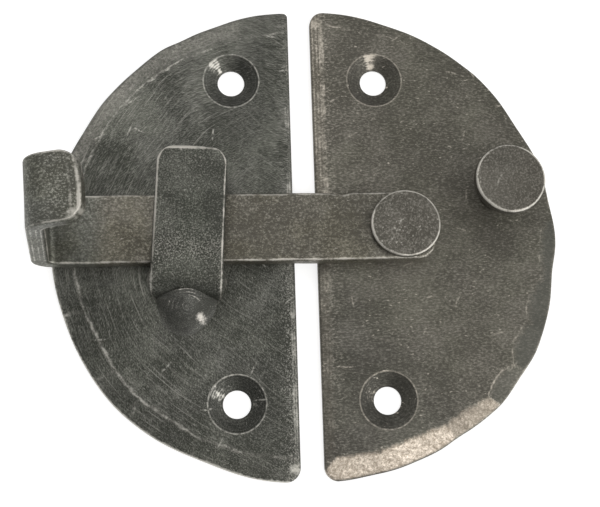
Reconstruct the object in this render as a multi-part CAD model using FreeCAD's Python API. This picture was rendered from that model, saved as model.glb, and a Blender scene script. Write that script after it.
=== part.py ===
import FreeCAD, Part
import math
import os

from FreeCAD import Matrix, Placement, Rotation, Vector

# Round cupboard catch latch, forged from steel plate and flat bar.
# It lies on its back: +Z points out of the cupboard door, +Y up the door, +X to the hinge side.
# The origin is the centre of the four screw holes, at the back faces of the plates.
# All sizes are in millimetres and degrees.

# Plates
plate_radius = 44.0
plate_thickness = 2.0
plate_gap = 4.2
door_plate_overhang = 0.9
sharp_corner_radius = 0.8
soft_corner_radius = 2.6

# Hammered rims
rim_bevel_width = 4.4
rim_bevel_drop = 0.9
rim_facet_length = 10.6
door_rim_turn = -3.5
door_rim_fade = 0.35
keep_edge_bevel_width = 0.9
keep_edge_bevel_drop = 0.4
door_edge_bevel_width = 2.0
door_edge_bevel_drop = 0.45

# Countersunk screw holes
screw_from_rim = 12.0
screw_angle = 20.0
screw_hole_radius = 2.5
countersink_radius = 5.2
countersink_angle = 118.0

# Flat bar that the latch bar and the keeper are bent from
strip_width = 12.7
strip_thickness = 3.2
strip_edge_chamfer = 0.45
bend_inner_radius = 1.0

# Latch bar
pivot_from_centre = 14.75
pivot_height = 1.1
bar_play = 0.25
bar_reach = 66.75
bar_end_past_pivot = 5.6
bar_end_corner_radius = 3.5
hook_rise = 23.4
hook_return = 9.6
hook_skew = 3.0
hook_lean = 6.7
hook_lift = 9.7
hook_corner_radius = 2.8

# Pivot rivet
rivet_head_radius = 6.35
rivet_head_thickness = 1.5
rivet_shoulder_radius = 3.5
pivot_clearance = 0.05

# Pull knob
knob_from_rim = 11.2
knob_height = 7.6
knob_head_radius = 6.25
knob_head_thickness = 2.2
knob_stem_radius = 3.2
knob_stem_length = 8.9
knob_neck_fillet = 1.2

# Tenons of the rivet and the knob, peened flush with the back of the plate
tenon_radius = 2.4
tenon_clearance = 0.02
peen_flare = 0.7
head_edge_round = 0.55

# Keeper
keeper_from_centre = 19.45
keeper_turn = 3.2
keeper_front_gap = 0.7
keeper_floor_gap = 2.8
keeper_leg_length = 26.5
keeper_corner_radius = 2.0

# Weld bead at the foot of the keeper
weld_half_width = 4.8
weld_half_depth = 4.4
weld_rise = 6.4
weld_offset = 0.3

# Places worked out from the sizes
centre_offset = (plate_gap + door_plate_overhang) / 2
plate_top = plate_thickness
bar_bottom = plate_top + bar_play
bar_top = bar_bottom + strip_thickness
rivet_head_bottom = bar_top + bar_play
pivot_x = centre_offset + pivot_from_centre
knob_x = centre_offset + plate_radius - knob_from_rim
knob_head_bottom = plate_top + knob_stem_length
keeper_x = -centre_offset - keeper_from_centre
keeper_inner_y = pivot_height - strip_width / 2 - keeper_floor_gap
keeper_outer_y = keeper_inner_y - strip_thickness
keeper_front_bottom = bar_top + keeper_front_gap
screw_circle_radius = plate_radius - screw_from_rim
screw_x = screw_circle_radius * math.sin(math.radians(screw_angle))
screw_y = screw_circle_radius * math.cos(math.radians(screw_angle))
tall = 10 * plate_thickness
X, Y, Z = Vector(1, 0, 0), Vector(0, 1, 0), Vector(0, 0, 1)


def tilted_cutter(reach, azimuth, width, drop):
    """Block whose underside is a sloping facet.

    The facet starts on the top face `width` inside `reach` and has sunk by `drop` at `reach`.
    """
    slope = math.degrees(math.atan2(drop, width))
    block = Part.makeBox(3 * width + 20, 2 * plate_radius, tall, Vector(-10, -plate_radius, 0))
    lean = Placement(Vector(reach - width, 0, plate_top), Rotation(Y, slope))
    block.Placement = Placement(Vector(), Rotation(Z, azimuth)).multiply(lean)
    return block


def hammered_rim(plate, phase, turn, fade):
    """Cut the row of uneven hammer facets round the arc of a half-disc centred on the origin.

    The row is turned by `turn`, and its facets get shallower towards +Y, by `fade` at the top.
    """
    count = max(5, round(math.pi * plate_radius / rim_facet_length))
    for i in range(count + 1):
        azimuth = -90 + 180 * i / count + turn
        share = 1 - fade * i / count
        width = rim_bevel_width * share * (1 + 0.16 * math.sin(2.4 * i + phase))
        drop = rim_bevel_drop * share * (1 + 0.28 * math.cos(1.7 * i + phase))
        plate = plate.cut(tilted_cutter(plate_radius, azimuth, width, drop))
    return plate


def countersunk_hole(x, y):
    """Through hole with a wide countersink open at the top face."""
    flare = math.tan(math.radians(countersink_angle / 2))
    depth = (countersink_radius - screw_hole_radius) / flare
    hole = Part.makeCylinder(screw_hole_radius, tall, Vector(x, y, -tall / 2))
    above = 1.0
    cone = Part.makeCone(screw_hole_radius, countersink_radius + above * flare, depth + above,
                         Vector(x, y, plate_top - depth))
    return hole.fuse(cone)


def tenon_profile(radius):
    """Half section of a tenon down through the plate, flared where it is peened over."""
    return [
        Vector(radius, 0, plate_top),
        Vector(radius, 0, peen_flare),
        Vector(radius + peen_flare, 0, 0),
        Vector(0, 0, 0),
    ]


def turned(points, x, y):
    """Solid of revolution of a closed half section about the vertical through (x, y)."""
    solid = Part.Face(Part.makePolygon(points + points[:1])).revolve(Vector(), Z, 360)
    solid.translate(Vector(x, y, 0))
    return solid


def tenon_hole(x, y):
    """Hole in the plate for a peened tenon."""
    radius = tenon_radius + tenon_clearance
    return turned([Vector(0, 0, plate_top)] + tenon_profile(radius), x, y)


def half_disc(overhang, lower_radius, upper_radius):
    """Half-disc blank with its arc towards +X and its straight edge at x = -overhang."""
    disc = Part.makeCylinder(plate_radius, plate_thickness)
    size = 2 * plate_radius
    blank = disc.common(Part.makeBox(size, 2 * size, tall, Vector(-overhang, -size, -1)))
    for sign, radius in ((-1, lower_radius), (1, upper_radius)):
        corner = [
            edge for edge in blank.Edges
            if abs(edge.tangentAt(edge.FirstParameter).z) > 0.99
            and sign * edge.CenterOfMass.y > plate_radius / 2
            and edge.CenterOfMass.x < 0.5
        ]
        blank = blank.makeFillet(radius, corner)
    return blank


def finished_plate(blank, edge_x, bevel_width, bevel_drop, phase, turn=0.0, fade=0.0):
    """Hammer the rim of a blank, bevel its straight edge and drill its two screw holes."""
    plate = hammered_rim(blank, phase, turn, fade)
    plate = plate.cut(tilted_cutter(-edge_x, 180, bevel_width, bevel_drop))
    for y in (-screw_y, screw_y):
        plate = plate.cut(countersunk_hole(screw_x, y))
    return plate


def make_keep_plate():
    """Left plate, turned half round so that its arc faces -X."""
    blank = half_disc(0.0, sharp_corner_radius, soft_corner_radius)
    plate = finished_plate(blank, 0.0, keep_edge_bevel_width, keep_edge_bevel_drop, 0.6)
    plate.rotate(Vector(), Z, 180)
    plate.translate(Vector(-centre_offset, 0, 0))
    return plate


def make_door_plate():
    """Right plate, with the tenon holes of the rivet and the knob."""
    blank = half_disc(door_plate_overhang, soft_corner_radius, soft_corner_radius)
    plate = finished_plate(blank, -door_plate_overhang, door_edge_bevel_width, door_edge_bevel_drop, 2.1,
                           door_rim_turn, door_rim_fade)
    plate.translate(Vector(centre_offset, 0, 0))
    for x, y in ((pivot_x, pivot_height), (knob_x, knob_height)):
        plate = plate.cut(tenon_hole(x, y))
    return plate


def strip_section(centre, across, up):
    """Section of the flat bar with its four edges chamfered, as a face.

    `across` is half the section's width as a vector, `up` its whole thickness.
    """
    side = strip_edge_chamfer / (strip_width / 2)
    rise = strip_edge_chamfer / strip_thickness
    corners = [
        (-1, rise), (-1 + side, 0), (1 - side, 0), (1, rise),
        (1, 1 - rise), (1 - side, 1), (-1 + side, 1), (-1, 1 - rise),
    ]
    points = [centre + across * u + up * v for u, v in corners]
    return Part.Face(Part.makePolygon(points + points[:1]))


def run_straight(face, direction, length):
    """Carry a section along a straight run. Returns the run and the section at its end."""
    step = direction * length
    end = face.copy()
    end.translate(step)
    return face.extrude(step), end


def run_bend(face, point, axis, angle):
    """Carry a section round a bend. Returns the bend and the section at its end."""
    end = face.copy()
    end.rotate(point, axis, angle)
    return face.revolve(point, axis, angle), end


def rounded_end(length, width, radius, thickness):
    """Block from x = 0 to `length`, with its two far corners rounded, centred on y = 0 and z = 0."""
    block = Part.makeBox(length, width, thickness, Vector(0, -width / 2, -thickness / 2))
    corners = [
        edge for edge in block.Edges
        if abs(edge.tangentAt(edge.FirstParameter).z) > 0.99 and edge.CenterOfMass.x > length / 2
    ]
    return block.makeFillet(radius, corners)


def make_latch_bar():
    """Flat bar with a round-cornered eye end, bent twice at the other end into a thumb hook.

    The fold lines are turned by `hook_skew` from square, so the riser leans sideways
    and the returned tab points twice that angle away from the bar.
    """
    outer_radius = bend_inner_radius + strip_thickness
    skew = math.radians(hook_skew)
    fold = Vector(-math.sin(skew), math.cos(skew), 0)
    ahead = Vector(-math.cos(skew), -math.sin(skew), 0)
    half = fold * (strip_width / 2 / math.cos(skew))
    start = Vector(pivot_x - bar_reach + outer_radius / math.cos(skew), pivot_height, bar_bottom)
    section = strip_section(start, half, Z * strip_thickness)

    body, _ = run_straight(section, X, pivot_x + 2 * bar_end_past_pivot - start.x)
    eye_length = bar_reach + bar_end_past_pivot
    eye = rounded_end(eye_length, strip_width, bar_end_corner_radius, strip_thickness)
    eye.translate(Vector(pivot_x - bar_reach, pivot_height, bar_bottom + strip_thickness / 2))
    body = body.common(eye)

    lower_turn = 90 + hook_lean
    lower_axis = start + Z * outer_radius
    lower_bend, section = run_bend(section, lower_axis, fold, lower_turn)
    spin = Rotation(fold, lower_turn)
    climb = spin.multVec(Vector(-1, 0, 0))
    straight_rise = (hook_rise - 2 * bend_inner_radius - strip_thickness) / climb.z
    riser, section = run_straight(section, climb, straight_rise)

    # The riser's inner face is found by carrying the section's centre along with the section
    upper_turn = 90 - hook_lean - hook_lift
    to_axis = spin.multVec(Z)
    carried = lower_axis + spin.multVec(start - lower_axis) + climb * straight_rise
    upper_axis = carried + to_axis * outer_radius
    upper_bend, section = run_bend(section, upper_axis, fold, upper_turn)
    spin = Rotation(fold, lower_turn + upper_turn)
    back = spin.multVec(Vector(-1, 0, 0))
    tab_length = hook_return - outer_radius
    tab, _ = run_straight(section, back, 2 * tab_length)

    # The tab's end is squared and its corners are rounded
    carried = upper_axis + Rotation(fold, upper_turn).multVec(carried - upper_axis)
    normal = spin.multVec(Z)
    sideways = normal.cross(back)
    turn = Matrix(
        back.x, sideways.x, normal.x, 0, back.y, sideways.y, normal.y, 0,
        back.z, sideways.z, normal.z, 0, 0, 0, 0, 1,
    )
    overlap = strip_width * math.tan(skew)
    end = rounded_end(tab_length + overlap, strip_width, hook_corner_radius, 2 * strip_thickness)
    end.translate(Vector(-overlap, 0, strip_thickness / 2))
    end.Placement = Placement(carried, Rotation(Placement(turn).Rotation)).multiply(end.Placement)
    tab = tab.common(end)

    bar = body.fuse([lower_bend, riser, upper_bend, tab]).removeSplitter()
    eye_hole = Part.makeCylinder(rivet_shoulder_radius + pivot_clearance, tall,
                                 Vector(pivot_x, pivot_height, bar_bottom - 1))
    return bar.cut(eye_hole)


def headed_pin(head_radius, head_bottom, head_thickness, stem_radius, x, y, neck=0.0):
    """Turned pin with a flat round head, a plain stem that stands on the plate and a tenon."""
    head_top = head_bottom + head_thickness
    points = [
        Vector(0, 0, head_top),
        Vector(head_radius - head_edge_round, 0, head_top),
        Vector(head_radius, 0, head_top - head_edge_round),
        Vector(head_radius, 0, head_bottom),
        Vector(stem_radius + neck, 0, head_bottom),
        Vector(stem_radius, 0, head_bottom - neck),
        Vector(stem_radius, 0, plate_top),
    ]
    if neck == 0.0:
        points.pop(4)
    return turned(points + tenon_profile(tenon_radius), x, y)


def make_pivot_rivet():
    """Shouldered rivet that the latch bar swings on."""
    return headed_pin(rivet_head_radius, rivet_head_bottom, rivet_head_thickness,
                      rivet_shoulder_radius, pivot_x, pivot_height)


def make_pull_knob():
    """Fixed pull knob, also the stop that the raised bar meets."""
    return headed_pin(knob_head_radius, knob_head_bottom, knob_head_thickness,
                      knob_stem_radius, knob_x, knob_height, knob_neck_fillet)


def make_weld_bead(foot):
    """Domed bead on the plate, against the outer face of the keeper's foot."""
    bead = Part.makeSphere(1.0)
    stretch = Matrix()
    stretch.scale(weld_half_width, weld_half_depth, weld_rise)
    bead = bead.transformGeometry(stretch)
    bead.translate(foot - Y * weld_offset)
    size = 4 * weld_half_width
    above = Part.makeBox(size, size, size, foot - Vector(size / 2, size / 2, 0))
    return bead.common(above)


def make_keeper():
    """J-bent strip that stands on the keep plate, open at the top for the bar, with its weld bead."""
    outer_radius = bend_inner_radius + strip_thickness
    root = Vector(keeper_x, keeper_inner_y, plate_top)
    section = strip_section(root, X * (strip_width / 2), -Y * strip_thickness)
    stand_height = keeper_front_bottom - bend_inner_radius - plate_top
    stand, section = run_straight(section, Z, stand_height)
    axis = root + Z * stand_height + Y * bend_inner_radius
    bend, section = run_bend(section, axis, X, -90)
    leg_length = keeper_leg_length - outer_radius
    leg, _ = run_straight(section, Y, leg_length)

    end = rounded_end(leg_length, strip_width, keeper_corner_radius, 3 * strip_thickness)
    end.rotate(Vector(), Z, 90)
    end.translate(axis + Z * (bend_inner_radius + strip_thickness / 2))
    leg = leg.common(end)

    keeper = stand.fuse([bend, leg, make_weld_bead(root - Y * strip_thickness)]).removeSplitter()
    keeper.rotate(root, Z, -keeper_turn)
    return keeper


parts = {
    "keep_plate": make_keep_plate(),
    "door_plate": make_door_plate(),
    "keeper": make_keeper(),
    "latch_bar": make_latch_bar(),
    "pivot_rivet": make_pivot_rivet(),
    "pull_knob": make_pull_knob(),
}

os.makedirs("parts", exist_ok=True)
for name, shape in parts.items():
    solid = shape.Solids[0] if len(shape.Solids) == 1 else shape
    solid.exportStep(f"parts/{name}.step")
    box = solid.optimalBoundingBox()
    print(f"{name}: valid {solid.isValid()}, solids {len(shape.Solids)}, volume {solid.Volume:.1f}, "
          f"x {box.XMin:.2f} to {box.XMax:.2f}, y {box.YMin:.2f} to {box.YMax:.2f}, "
          f"z {box.ZMin:.2f} to {box.ZMax:.2f}")
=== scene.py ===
import logging
import math
from dataclasses import dataclass, field, replace
from enum import Enum

import bpy
import numpy as np
from mathutils import Matrix, Vector


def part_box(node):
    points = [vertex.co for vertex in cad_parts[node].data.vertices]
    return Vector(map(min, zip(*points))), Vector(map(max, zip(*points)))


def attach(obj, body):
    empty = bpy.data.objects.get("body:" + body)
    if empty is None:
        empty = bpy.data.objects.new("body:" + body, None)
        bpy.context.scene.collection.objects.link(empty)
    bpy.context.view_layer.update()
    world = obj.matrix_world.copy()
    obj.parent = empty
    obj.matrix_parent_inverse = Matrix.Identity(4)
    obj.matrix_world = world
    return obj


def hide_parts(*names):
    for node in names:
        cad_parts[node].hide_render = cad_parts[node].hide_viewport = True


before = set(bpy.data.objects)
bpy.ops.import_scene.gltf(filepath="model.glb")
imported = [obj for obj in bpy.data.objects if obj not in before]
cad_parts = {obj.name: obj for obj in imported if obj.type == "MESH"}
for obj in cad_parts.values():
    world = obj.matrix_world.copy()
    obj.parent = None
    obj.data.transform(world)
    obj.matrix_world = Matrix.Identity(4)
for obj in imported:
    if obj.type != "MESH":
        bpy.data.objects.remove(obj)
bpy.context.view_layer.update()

# Sizes are in millimetres and angles in degrees; meshes and lights are set in metres.
MM = 0.001
IMAGE_WIDTH = 600
LOG = logging.getLogger("cupboard_latch")
Array = np.ndarray
Colour = tuple[float, float, float]
Place = tuple[float, float, float]
Socket = bpy.types.NodeSocket
Tree = bpy.types.NodeTree
FLOAT, VECTOR = "NodeSocketFloat", "NodeSocketVector"
# Edges that turn by more than this are sharp.
CREASE = 32.0
# The unevenness of the two sides of a strip is read this far apart, so that they differ.
SIDE_APART = 30.0


class Body(Enum):
    """Rigid bodies of the latch."""

    PLATES = "plates"
    BAR = "bar"


class Slot(Enum):
    """Material slots of the record."""

    PLATE = "plate_steel"
    STRIP = "strip_steel"
    PIN = "pin_steel"


class Layer(Enum):
    """Values kept on the vertices for the finishes to read."""

    WEAR = "wear"
    PAINTED_SHEEN = "painted_sheen"
    SPECKS = "specks"


def node_box(node: str) -> tuple[Array, Array]:
    """Lowest and highest corner of the box of a piece of the frame, in millimetres."""
    low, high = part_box(node)
    return np.array(low) / MM, np.array(high) / MM


def soft_noise(x: Array, y: Array, wavelength: float, seed: int, waves: int = 9) -> Array:
    """Smooth uneven field: a mean of sine waves of random direction, length and phase.

    Args:
        x: first coordinate.
        y: second coordinate.
        wavelength: mean length of the waves.
        seed: start of the random draw.
        waves: how many waves are added.

    Returns:
        Values of about -1 to 1, of the shape of x.
    """
    rng = np.random.default_rng(seed)
    heading = rng.uniform(0, 2 * np.pi, waves)
    length = wavelength * rng.uniform(0.6, 1.7, waves)
    phase = rng.uniform(0, 2 * np.pi, waves)
    turn = 2 * np.pi / length
    angle = (x[..., None] * np.cos(heading) + y[..., None] * np.sin(heading)) * turn + phase
    return np.sin(angle).sum(-1) * math.sqrt(2 / waves) / 2


def worn_away(x: Array, y: Array, depth: float, wavelength: float, seed: int) -> Array:
    """Uneven loss from none to about `depth`: depth * (1 + soft noise) / 2."""
    return depth * (0.5 + 0.5 * soft_noise(x, y, wavelength, seed))


def ramp(value: Array, start: float, length: float) -> Array:
    """0 up to `start`, and from there evenly up to 1 over `length`."""
    return np.clip((value - start) / length, 0, 1)


def rounded_drop(distance: Array, radius: float) -> Array:
    """How far an edge that is rounded by a quarter circle has sunk, at each distance in from it."""
    lack = np.clip(radius - distance, 0.0, radius)
    return radius - np.sqrt(radius**2 - lack**2)


@dataclass(frozen=True)
class Bell:
    """Bell curve: strength * exp(-((offset - place) / width)^2).

    Attributes:
        place: offset of its middle.
        width: offset from there at which it has fallen to about a third.
        strength: its height.
    """

    place: float
    width: float | Array
    strength: float = 1.0

    def at(self, offset: Array) -> Array:
        """Its value at each offset."""
        return self.strength * np.exp(-(((offset - self.place) / self.width) ** 2))


def full_turn(steps: int) -> Array:
    """Angles of even steps round the circle."""
    return np.linspace(0, 2 * np.pi, steps, endpoint=False)


def circle(turn: Array) -> Array:
    """Points of the unit circle at angles in radians, one row each."""
    return np.stack([np.cos(turn), np.sin(turn)], axis=-1)


def link_object(name: str, data: bpy.types.ID) -> bpy.types.Object:
    """Make an object of a mesh, a lamp or a camera and link it to the scene.

    Args:
        name: name of the object.
        data: what it holds.

    Returns:
        The object.
    """
    made = bpy.data.objects.new(name, data)
    bpy.context.scene.collection.objects.link(made)
    return made


@dataclass
class SurfaceGrid:
    """Closed surface: rows of points that each close on themselves, and a pole at each end.

    Attributes:
        points: rows x columns x 3 array of places.
        start: pole that closes the first row.
        end: pole that closes the last row.
        layers: value per point for each vertex layer, rows x columns.
    """

    points: Array
    start: Array
    end: Array
    layers: dict[Layer, Array] = field(default_factory=dict)

    @classmethod
    def capped(cls, points: Array, layers: dict[Layer, Array]) -> "SurfaceGrid":
        """Grid whose poles are the middles of its first and last rows."""
        return cls(points, points[0].mean(0), points[-1].mean(0), layers)

    def faces(self) -> tuple[Array, Array]:
        """Quads between neighbouring rows and triangles round the two poles.

        Returns:
            Arrays of four and of three vertex numbers.
        """
        rows, columns = self.points.shape[:2]
        here = np.arange(rows * columns).reshape(rows, columns)
        beside = np.roll(here, -1, axis=1)
        quads = np.stack([here[:-1], beside[:-1], beside[1:], here[1:]], axis=-1).reshape(-1, 4)
        first = np.full(columns, rows * columns)
        fans = [
            np.stack([first, beside[0], here[0]], axis=-1),
            np.stack([first + 1, here[-1], beside[-1]], axis=-1),
        ]
        return quads, np.concatenate(fans)

    def to_object(self, name: str, crease: float = CREASE) -> bpy.types.Object:
        """Make a mesh object with its faces outwards and its creases sharp.

        Args:
            name: name of the piece.
            crease: angle past which an edge is sharp.

        Returns:
            The object, linked to the scene.
        """
        places = np.vstack([self.points.reshape(-1, 3), self.start, self.end]) * MM
        quads, fans = self.faces()
        if self.volume(places, quads, fans) < 0:
            quads, fans = quads[:, ::-1], fans[:, ::-1]
        corners = np.concatenate([quads.ravel(), fans.ravel()])
        starts = np.concatenate([np.arange(len(quads)) * 4, quads.size + np.arange(len(fans)) * 3])
        mesh = bpy.data.meshes.new(name)
        mesh.vertices.add(len(places))
        mesh.vertices.foreach_set("co", places.ravel())
        mesh.loops.add(len(corners))
        mesh.loops.foreach_set("vertex_index", corners)
        mesh.polygons.add(len(starts))
        mesh.polygons.foreach_set("loop_start", starts)
        mesh.update(calc_edges=True)
        mesh.validate()
        for layer, values in self.layers.items():
            poles = [values[0].mean(), values[-1].mean()]
            set_layer(mesh, layer, np.concatenate([values.ravel(), poles]))
        smooth_mesh(mesh, crease)
        return link_object(name, mesh)

    @staticmethod
    def volume(places: Array, quads: Array, fans: Array) -> float:
        """Signed volume inside the faces: the sum of a . (b x c) / 6 over their triangles.

        Args:
            places: vertices.
            quads: faces of four vertex numbers.
            fans: faces of three.

        Returns:
            Volume, negative where the faces point inwards.
        """
        triangles = np.concatenate([quads[:, [0, 1, 2]], quads[:, [0, 2, 3]], fans])
        a, b, c = (places[triangles[:, i]] for i in range(3))
        return float(np.einsum("ij,ij->i", a, np.cross(b, c)).sum() / 6)


def set_layer(mesh: bpy.types.Mesh, layer: Layer, values: Array) -> None:
    """Write one value per vertex to a mesh layer."""
    held = mesh.attributes.get(layer.value) or mesh.attributes.new(layer.value, "FLOAT", "POINT")
    held.data.foreach_set("value", np.ascontiguousarray(values, dtype=np.float32))


def smooth_mesh(mesh: bpy.types.Mesh, crease: float) -> None:
    """Shade a mesh smooth, apart from edges sharper than `crease` degrees."""
    mesh.polygons.foreach_set("use_smooth", np.ones(len(mesh.polygons), dtype=bool))
    mesh.set_sharp_from_angle(angle=math.radians(crease))


def vertex_places(mesh: bpy.types.Mesh) -> Array:
    """Vertices of a mesh in millimetres, one row each.

    Args:
        mesh: the mesh.

    Returns:
        vertices x 3 array.
    """
    places = np.empty(len(mesh.vertices) * 3)
    mesh.vertices.foreach_get("co", places)
    return places.reshape(-1, 3) / MM


def bored(piece: bpy.types.Object, cutter: bpy.types.Object) -> None:
    """Cut one closed shape out of a piece and delete the cutter.

    Args:
        piece: object to cut.
        cutter: object whose inside is taken away.
    """
    cut = piece.modifiers.new("bore", "BOOLEAN")
    cut.operation = "DIFFERENCE"
    cut.solver = "MANIFOLD"
    cut.object = cutter
    graph = bpy.context.evaluated_depsgraph_get()
    mesh = bpy.data.meshes.new_from_object(piece.evaluated_get(graph))
    piece.modifiers.clear()
    old, piece.data = piece.data, mesh
    mesh.name = piece.name
    bpy.data.meshes.remove(old)
    used = cutter.data
    bpy.data.objects.remove(cutter)
    bpy.data.meshes.remove(used)
    smooth_mesh(mesh, CREASE)


def turned(profile: Array, centre: Array, steps: int, wobble: float = 0.0, seed: int = 1) -> SurfaceGrid:
    """Surface of revolution about a vertical axis.

    A point of the half profile (r, z) goes to (cx + r cos t, cy + r sin t, z) for t round the circle, with r
    made a little uneven by `wobble`.

    Args:
        profile: points x 2 array of radius and height, from axis to axis.
        centre: x and y of the axis.
        steps: points round the circle.
        wobble: largest change of radius, as a share of it.
        seed: start of the random draw for the wobble.

    Returns:
        The closed surface.
    """
    turn = full_turn(steps)
    wavelength = 1.2
    uneven = 1 + wobble * soft_noise(np.cos(turn), np.sin(turn), wavelength, seed)
    radius, height = profile[1:-1, :1], profile[1:-1, 1:]
    points = np.stack([
        centre[0] + radius * uneven * np.cos(turn),
        centre[1] + radius * uneven * np.sin(turn),
        np.broadcast_to(height, (len(radius), steps)),
    ], axis=-1)
    poles = [np.array([centre[0], centre[1], z]) for z in (profile[0, 1], profile[-1, 1])]
    return SurfaceGrid(points, poles[0], poles[1])


def dense_profile(corners: list[tuple[float, float, float]], step: float = 0.35, arc: int = 6) -> Array:
    """Half profile through corners, each rounded by its own radius.

    A corner between unit directions a and b with radius q starts q tan(h) before it, where h is half the
    turn, and follows the quadratic curve that the corner controls.

    Args:
        corners: radius, height and rounding of each corner.
        step: spacing of points on the straight runs.
        arc: points on each rounding.

    Returns:
        points x 2 array.
    """
    places = np.array([c[:2] for c in corners])
    rounding = np.array([c[2] for c in corners])
    path = [places[:1]]
    for before, here, after, radius in zip(places[:-2], places[1:-1], places[2:], rounding[1:-1]):
        a = (here - before) / np.linalg.norm(here - before)
        b = (after - here) / np.linalg.norm(after - here)
        half_turn = math.acos(float(np.clip(a @ b, -1, 1))) / 2
        cut = radius * math.tan(half_turn)
        t = np.linspace(0, 1, arc)[:, None]
        entry, leave = here - a * cut, here + b * cut
        path.append((1 - t) ** 2 * entry + 2 * t * (1 - t) * here + t**2 * leave)
    path.append(places[-1:])
    joined = np.concatenate(path)
    runs = []
    for start, stop in zip(joined[:-1], joined[1:]):
        count = max(1, round(float(np.linalg.norm(stop - start)) / step))
        share = np.linspace(0, 1, count, endpoint=False)[:, None]
        runs.append(start + (stop - start) * share)
    profile = np.concatenate(runs + [joined[-1:]])
    same_place = 1e-5
    kept = np.linalg.norm(np.diff(profile, axis=0), axis=1) > same_place
    return profile[np.concatenate([[True], kept])]


@dataclass(frozen=True)
class HammerBlow:
    """One facet left on a rim by the hammer.

    Attributes:
        angle: where it is round the arc, from the middle of the arc.
        reach: how far in from the rim it starts.
        drop: how far it has sunk at the rim.
        bright: how much painted sheen it has; where negative, how much painted shade.
        ridge: how bright its inner edge is worn.
        rim: how bright the rim is worn along it.
        hollow: how strongly it is hollowed along the rim, per millimetre.
    """

    angle: float
    reach: float
    drop: float
    bright: float
    ridge: float
    rim: float
    hollow: float = 0.0


@dataclass(frozen=True)
class Glint:
    """Painted highlight on one side of a countersink, barred like its turning marks.

    Attributes:
        upper: whether it is the hole at +Y.
        angle: side of the cone that shines, round the hole.
        spread: half width of the bright part.
        strength: how bright it is.
    """

    upper: bool
    angle: float
    spread: float
    strength: float


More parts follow.
